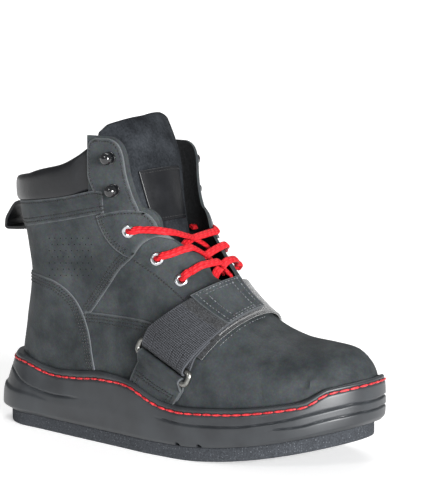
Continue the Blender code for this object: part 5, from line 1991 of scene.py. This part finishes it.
def make_strap():
    rings = [Ring(side) for side in SIDES.values()]
    lateral, medial = rings
    paths, sides = web_loop(lateral, 0.94, 0.25, 0.0038, 0.0066)
    settled(ribbon("strap_webbing_lateral", paths, WEB_HALF, sides, "webbing"), "ribbed_webbing", "strap")
    paths, sides = web_loop(medial, 0.36, 0.34, 0.0030, 0.0054)
    settled(ribbon("strap_webbing_medial", paths, WEB_HALF, sides, "webbing"), "ribbed_webbing")
    band = []
    for share in np.linspace(-0.02, 1.09, STRAP_STATIONS):
        path = on_ways(lateral, share, np.linspace(0.02, 1, 34), 0.0022)
        path += on_ways(medial, share, np.linspace(1, 0.30, 26)[1:], 0.0022)
        band.append(path)
    band = np.array(band)
    settled(
        ribbon("strap_band", band, 0.0008, facing_out(directions(band), band), "pile"), "ribbed_webbing"
    )
    tape = []
    for share in np.linspace(0.0, 1.03, STRAP_STATIONS):
        tape.append(on_ways(lateral, share, np.linspace(0.36, 0.95, 26), 0.0044))
    tape = np.array(tape)
    settled(
        ribbon("strap_tape", tape, 0.0013, facing_out(directions(tape), tape), "pile"), "ribbed_webbing"
    )
    fuzz = []
    for share in np.linspace(0.02, 0.98, STRAP_STATIONS):
        fuzz.append(on_ways(lateral, share, np.linspace(0.39, 0.52, 8), 0.0074))
    fuzz = np.array(fuzz)
    settled(
        ribbon("strap_fuzz", fuzz, 0.0004, facing_out(directions(fuzz), fuzz), "pile"), "ribbed_webbing"
    )
    patch_grid = []
    for share in np.linspace(-0.03, 1.03, STRAP_STATIONS):
        patch_grid.append(on_ways(lateral, share, np.linspace(0.485, 0.93, 26), 0.0086))
    patch_grid = np.array(patch_grid)
    made = ribbon(
        "strap_patch_leather", patch_grid, 0.0010, facing_out(directions(patch_grid), patch_grid),
        "leather", 0.0006
    )
    settled(made, "oiled_leather", "strap_patch")
    strap_sewing(lateral, medial)


def boxed(ring, shares, ways, lift):
    """A sewn box on the strap: its corners as shares across and ways along it."""
    (s0, s1), (w0, w1) = shares, ways
    rows = []
    for a, b in (((s0, w0), (s1, w0)), ((s1, w0), (s1, w1)), ((s1, w1), (s0, w1)), ((s0, w1), (s0, w0))):
        steps = np.linspace(0, 1, 30)
        rows.append(
            np.array(
                [on_strap(ring, a[0] + (b[0] - a[0]) * t, a[1] + (b[1] - a[1]) * t, lift) for t in steps]
            )
        )
    return rows


def strap_sewing(lateral, medial):
    rows = []
    for inset in (0.0022, 0.0056):
        s, w = inset / lateral.width, inset / 0.055
        rows += boxed(lateral, (-0.03 + s, 1.03 - s), (0.485 + w, 0.93 - w), 0.0097)
    edge = [np.array([on_strap(lateral, 1.15, way, 0.0003) for way in np.linspace(0.30, 0.97, 50)])]
    rows += boxed(medial, (0.08, 0.92), (0.12, 0.31), 0.0062 + 0.0003)
    sewn(
        "strap_sewing", rows + edge, finish("pale thread"), 0.0026, 0.0021, 0.0007, "oiled_leather", seed=2
    )


def tab_paths(ring):
    """Leather that comes up from the sole, round the ring's lower bar and back down inside."""
    paths = []
    for share in np.linspace(0, 1, STRAP_STATIONS):
        along = STRAP[0].lip_along + (STRAP[1].lip_along - STRAP[0].lip_along) * share
        x = along * LAST_LENGTH + BACK_X
        foot = np.array([x, lip(x, 0) - 0.0030])
        bar = ring.point(share, -RING_SPAN - FOLD_RISE)
        path = []
        for way in np.linspace(1, 0, 16):
            px, pz = np.array([bar[0], bar[2]]) * (1 - way) + foot * way
            path.append(lifted(px, pz, ring.side, 0.0030))
        turn = np.radians(np.linspace(90, -90, 9))
        path += [ring.point(share, -RING_SPAN + 0.0031 * cos(a), 0.0031 * sin(a)) for a in turn]
        for way in np.linspace(0, 0.6, 7):
            px, pz = np.array([bar[0], bar[2]]) * (1 - way) + foot * way
            path.append(lifted(px, pz, ring.side, 0.0011))
        paths.append(path)
    return np.array(paths)


def make_tabs():
    rows = []
    for name, side in SIDES.items():
        ring = Ring(side)
        paths = tab_paths(ring)
        sides = facing_out(directions(paths), paths)
        made = ribbon(f"ring_tab_leather_{name}", paths, 0.0008, sides, "leather", 0.0005)
        settled(made, "oiled_leather", f"ring_tab_{name}")
        made = shown(f"ring_wire_{name}", ring_mesh(f"ring_wire_{name}", ring), finish("pewter"))
        settled(made, "dark_pewter", f"ring_{name}")
        outer = paths + sides * 0.00095
        for edge in (2, 4):
            rows.append(outer[edge, 1:9])
            rows.append(outer[-1 - edge, 1:9])
        for at in (8, 10):
            rows.append(outer[2:-2, at])
    sewn(
        "tab_sewing", [along_line(row, LINE_STEP) for row in rows], finish("dark thread"), 0.0024, 0.0019,
        0.00075, "oiled_leather", seed=3
    )


def ring_mesh(name, ring):
    """A wire bent to a rounded rectangle round the two folds."""
    path = []
    for share, up, start in ((1, 0, 0), (1, -RING_SPAN, -90), (0, -RING_SPAN, -180), (0, 0, -270)):
        end = 1 if share else -1
        low = up + (RING_CORNER if up else -RING_CORNER)
        corner = ring.point(share, low) + ring.along * end * RING_SLACK
        for turn in np.linspace(90, 0, 7):
            a = radians(start + turn)
            path.append(corner + (ring.along * cos(a) + ring.up * sin(a)) * RING_CORNER)
    path = np.array(path)
    return tube(
        name, path, np.broadcast_to(ring.out, path.shape), 2 * WIRE_RADIUS, 2 * WIRE_RADIUS, 18, True
    )


def tube(name, path, across, width, height, sides, closed, power=1.0):
    """An oval swept along a path; across gives the wide way at each point. Its UV map is in metres."""
    path = np.asarray(path)
    run = np.roll(path, -1, axis=0) - np.roll(path, 1, axis=0) if closed else np.gradient(path, axis=0)
    run /= np.linalg.norm(run, axis=1)[:, None]
    wide = across - run * (across * run).sum(axis=1)[:, None]
    wide /= np.linalg.norm(wide, axis=1)[:, None]
    high = np.cross(run, wide)
    out, up = rounded(np.linspace(0, 2 * pi, sides, endpoint=False), power)
    count = len(path)
    wider = wide[:, None] * (out * width / 2)[None, :, None]
    higher = high[:, None] * (up * height / 2)[None, :, None]
    points = (path[:, None] + wider + higher).reshape(-1, 3)
    last = count if closed else count - 1
    faces = []
    for i in range(last):
        for k in range(sides):
            a, b = i * sides + k, i * sides + (k + 1) % sides
            c, d = ((i + 1) % count) * sides + (k + 1) % sides, ((i + 1) % count) * sides + k
            faces.append((a, b, c, d))
    if not closed:
        faces += [tuple(range(sides))[::-1], tuple(range((count - 1) * sides, count * sides))]
    mesh = bpy.data.meshes.new(name)
    mesh.from_pydata(points.tolist(), [], faces)
    far = np.concatenate([[0], np.cumsum(np.linalg.norm(np.diff(path, axis=0), axis=1))])
    round_it = np.arange(sides) / sides * (width + height) * 1.6
    flat = np.stack(np.meshgrid(far, round_it, indexing="ij"), axis=-1).reshape(-1, 2)
    index = np.empty(len(mesh.loops), np.int32)
    mesh.loops.foreach_get("vertex_index", index)
    mesh.uv_layers.new(name="Braid").data.foreach_set("uv", flat[index].astype(np.float32).ravel())
    return tidied(mesh, 60)


# Turned metal


def turned(name, profile, steps, matrix, finish_name):
    """A profile turned about its own axis, with its poles closed."""
    fine = along_line(profile, 0.00025)
    turn = np.linspace(0, 2 * pi, steps, endpoint=False)
    rings = [[matrix @ Vector((r * cos(a), r * sin(a), h)) for a in turn] for r, h in fine]
    rings = np.array([[tuple(p) for p in ring] for ring in rings])
    mesh = welded(name, *turned_faces(rings))
    mesh.set_sharp_from_angle(angle=radians(60))
    return shown(name, mesh, finish(finish_name))


def turned_faces(rings):
    rows, count = rings.shape[:2]
    r, k = np.meshgrid(np.arange(rows - 1), np.arange(count), indexing="ij")
    a, b = (r * count + k).ravel(), (r * count + (k + 1) % count).ravel()
    return rings, [tuple(f) for f in np.column_stack([a, b, b + count, a + count])]


def make_hooks():
    for name, side in SIDES.items():
        for k, row in enumerate(HOOKS):
            matrix = seat(row, side) @ Matrix.Translation((0, 0, HOOK_LIFT - 0.0003))
            made = turned(f"ball_hook_{name}_{k + 1}", HOOK_PROFILE, 28, matrix, "enamel")
            settled(made, "black_enamel", f"hook_{name}_{k + 1}")


def make_eyelets():
    for name, side in SIDES.items():
        for k, row in enumerate(EYELETS):
            raise_by = STAY_LIFT - 0.0002 if k == 0 else 0.0
            matrix = seat(row, side) @ Matrix.Translation((0, 0, raise_by))
            made = turned(f"nickel_eyelet_{name}_{k + 1}", EYELET_PROFILE, 28, matrix, "nickel")
            settled(made, "bright_nickel", f"eyelet_{name}_{k + 1}")


# The laces


def lace_line(which, side):
    """One lace from its eyelet, over the facing and across the throat, to under the far facing."""
    eyelet = EYELETS[LACE_EYELETS[which]]
    x, z = side_row(eyelet, LATERAL)
    ahead = LACES[which][0]
    toward = np.array([ahead.along * LAST_LENGTH + BACK_X, ahead.up * SHAFT_HEIGHT + FOOTBED]) - (x, z)
    toward /= np.linalg.norm(toward)
    points = []
    for step, lift in ((-0.0003, -0.0060), (0.0003, -0.0012), (0.0014, 0.0026), (0.0040, 0.0046)):
        px, pz = np.array([x, z]) + toward * step
        points.append(lifted(px, pz, LATERAL, lift))
    for p in LACES[which]:
        points.append(
            (p.along * LAST_LENGTH + BACK_X, p.across * SHAFT_WIDTH / 2, p.up * SHAFT_HEIGHT + FOOTBED)
        )
    if which > 0:
        low = EYELETS[LACE_EYELETS[which] + 1]
        fx, fz = side_row(low, MEDIAL)
        points.append(lifted(fx - 0.001, fz, MEDIAL, -0.0058))
    else:
        points.append((points[-1][0] + 0.001, points[-1][1] + 0.006, points[-1][2] - 0.0052))
    path = along_line(points, 0.0011)
    sink = LACE_DIP if side == MEDIAL else 0
    path -= np.outer(np.exp(-((path[:, 1] / (LACE_WIDTH * 1.3)) ** 2)) * sink, (0.6, 0, 0.8))
    out = np.array([0.6, 0, 0.8]) + np.outer(path[:, 1] / SHAFT_WIDTH, (0, 1.9, 0))
    path, out = path * (1, -side, 1), out * (1, -side, 1)
    if side == MEDIAL:
        path[:, 2] -= np.interp(path[:, 1], (0, SHAFT_WIDTH / 4), (0, eyelet.drop * SHAFT_HEIGHT))
    return path, np.cross(out, np.gradient(path, axis=0))


def make_laces():
    for which in range(len(LACES)):
        for name, side in SIDES.items():
            path, across = lace_line(which, side)
            mesh = tube(f"lace_{which + 1}_{name}", path, across, 0.0060, 0.0027, 20, False, 0.8)
            nodes = (f"lace_cross_{which + 1}",) if side == LATERAL else ()
            settled(shown(mesh.name, mesh, finish("braid")), "red_braid", *nodes)


def make_pull_loop():
    rows = np.array(LOOP)
    z = FOOTBED + LOOP_BASE * SHAFT_HEIGHT + rows[:, 1] * LOOP_RISE
    path = along_line(np.column_stack([back_of(z) - rows[:, 0] * LOOP_REACH, z]), 0.0008)
    run = np.gradient(path, axis=0)
    run /= np.linalg.norm(run, axis=1)[:, None]
    middle = path + np.column_stack([-run[:, 1], run[:, 0]]) * LOOP_THICKNESS / 2
    inward = np.column_stack([-run[:, 1], run[:, 0]])
    paths, sides = [], []
    for y in np.linspace(-LOOP_WIDTH / 2, LOOP_WIDTH / 2, 18):
        paths.append(np.column_stack([middle[:, 0], np.full(len(middle), y), middle[:, 1]]))
        sides.append(np.column_stack([-inward[:, 0], np.zeros(len(middle)), -inward[:, 1]]))
    made = ribbon("pull_loop_leather", paths, LOOP_THICKNESS / 2, sides, "smooth", 0.0005)
    settled(made, "smooth_leather", "pull_loop")
    rows = []
    for y in (-LOOP_WIDTH / 2 + 0.0022, LOOP_WIDTH / 2 - 0.0022):
        flat = middle - inward * (LOOP_THICKNESS / 2 + 0.0001)
        rows.append(np.column_stack([flat[:, 0], np.full(len(flat), y), flat[:, 1]]))
    sewn("pull_loop_sewing", rows, finish("pale thread"), 0.0024, 0.0019, 0.0006, "smooth_leather", seed=5)


# Floor, light and camera

CAMERA_TURN = 36.0
CAMERA_TILT = 7.99
CAMERA_FAR = 1.700
CAMERA_FOCUS = 2407.303
PHOTO_WIDTH = 435
CAMERA_AIM = (0.0, 0.0, 0.090)
CAMERA_SLIDE = (0.023311, 0.046123)
# Soft suns: name, turn from the outer side towards the toe and tilt over the floor in degrees, strength,
# spread in degrees
SUNS = (("key", 62, 7, 9.0, 28), ("fill", -8, 25, 0.7, 14), ("back", 200, 58, 1.0, 36))
SKY_STRENGTH = 0.21
# The floor is lit from below too, as on a light table, so that it stays white
FLOOR_GLOW = 0.4


def make_stage():
    floor = bpy.data.meshes.new("floor")
    floor.from_pydata([(-40, -40, 0), (40, -40, 0), (40, 40, 0), (-40, 40, 0)], [], [(0, 1, 2, 3)])
    made = bpy.data.materials.new("Matte white paper")
    made.use_nodes = True
    tree = made.node_tree
    shader = tree.nodes["Principled BSDF"]
    shader.inputs["Roughness"].default_value = 0.9
    shader.inputs["Emission Color"].default_value = (1, 1, 1, 1)
    shader.inputs["Emission Strength"].default_value = FLOOR_GLOW
    at = add(tree, "ShaderNodeTexCoord").outputs
    tooth = add(tree, "ShaderNodeTexNoise", {"Vector": at["Object"], "Scale": per_mm(400)})
    tone = add(
        tree, "ShaderNodeValToRGB", {"Fac": tooth.outputs["Fac"]},
        stops=((0, linear("#f6f6f6")), (1, linear("#fbfbfb")))
    )
    tree.links.new(tone.outputs["Color"], shader.inputs["Base Color"])
    shown("floor", floor, made)
    world = bpy.data.worlds.new("Studio")
    bpy.context.scene.world = world
    world.use_nodes = True
    world.node_tree.nodes["Background"].inputs["Color"].default_value = (1, 1, 1, 1)
    world.node_tree.nodes["Background"].inputs["Strength"].default_value = SKY_STRENGTH
    for name, turn, tilt, energy, spread in SUNS:
        lamp = bpy.data.lights.new(name, "SUN")
        lamp.energy = energy
        lamp.angle = radians(spread)
        spot = bpy.data.objects.new(name, lamp)
        a, t = radians(turn), radians(tilt)
        toward = Vector((sin(a) * cos(t), -cos(a) * cos(t), sin(t)))
        spot.rotation_euler = toward.to_track_quat("Z", "Y").to_euler()
        bpy.context.scene.collection.objects.link(spot)
    lens = bpy.data.cameras.new("camera")
    lens.sensor_fit = "HORIZONTAL"
    lens.sensor_width = 36.0
    lens.lens = CAMERA_FOCUS / PHOTO_WIDTH * lens.sensor_width
    lens.clip_end = 200
    camera = bpy.data.objects.new("camera", lens)
    a, t = radians(CAMERA_TURN), radians(CAMERA_TILT)
    back = Vector((sin(a) * cos(t), -cos(a) * cos(t), sin(t)))
    right = Vector((cos(a), sin(a), 0))
    up = back.cross(right)
    place = Vector(CAMERA_AIM) + right * CAMERA_SLIDE[0] + up * CAMERA_SLIDE[1] + back * CAMERA_FAR
    turn = Matrix((right, up, back)).transposed().to_4x4()
    camera.matrix_world = Matrix.Translation(place) @ turn
    bpy.context.scene.collection.objects.link(camera)
    bpy.context.scene.camera = camera
    bpy.context.scene.view_settings.view_transform = "Standard"


# Operators and the panel

PIECES = (
    (
        "upper", "Leather upper",
        "Draws the leather over the form and opens it at the collar and the throat", make_upper
    ),
    ("panels", "Cut leather pieces", "Lays the counter, band, quarters, stays and facings", make_panels),
    ("sewing", "Sewing on the upper", "Sews the rows along the leather's edges", make_sewing),
    ("perforations", "Perforations", "Punches the breathing holes in the shaft", make_perforations),
    ("collar", "Padded collar", "Stuffs the glossy collar round the ankle", make_collar),
    ("tongue", "Tongue", "Shapes the suede tongue and its bare patch", make_tongue),
    ("outsole", "Cup sole", "Moulds the sole with its grooves and red stitching", make_outsole),
    ("pad", "Traction pad", "Cuts the foam pad", make_pad),
    ("insole", "Insole", "Lays the cloth insole", make_insole),
    ("strap", "Strap", "Runs the webbing and tape over the instep", make_strap),
    ("tabs", "Tabs and rings", "Folds the leather tabs round their rings", make_tabs),
    ("hooks", "Ball hooks", "Sets the black lace hooks", make_hooks),
    ("eyelets", "Eyelets", "Presses the bright eyelets", make_eyelets),
    ("laces", "Laces", "Threads the red laces across the throat", make_laces),
    ("pull_loop", "Pull loop", "Sews the loop at the heel", make_pull_loop),
    ("stage", "Stage", "Sets the floor, the light and the camera", make_stage),
)


def operator_for(key, label, words, build):
    """An Operator class that builds one piece or group of like pieces."""

    def execute(self, context):
        build()
        return {"FINISHED"}

    body = {"bl_idname": f"boot.{key}", "bl_label": label, "__doc__": words, "execute": execute}
    return type(f"BOOT_OT_{key}", (bpy.types.Operator,), body)


OPERATORS = [operator_for(*row) for row in PIECES]


class BOOT_PT_pieces(bpy.types.Panel):
    """Lists what builds the boot"""

    bl_idname = "BOOT_PT_pieces"
    bl_label = "Roofing Work Boot"
    bl_space_type = "VIEW_3D"
    bl_region_type = "UI"
    bl_category = "Boot"

    def draw(self, context):
        for made in OPERATORS:
            self.layout.operator(made.bl_idname)


def register():
    for made in [*OPERATORS, BOOT_PT_pieces]:
        bpy.utils.register_class(made)


def unregister():
    for made in [BOOT_PT_pieces, *OPERATORS[::-1]]:
        bpy.utils.unregister_class(made)


def main():
    register()
    for key, *_ in PIECES:
        getattr(bpy.ops.boot, key)()


if __name__ == "__main__":
    main()
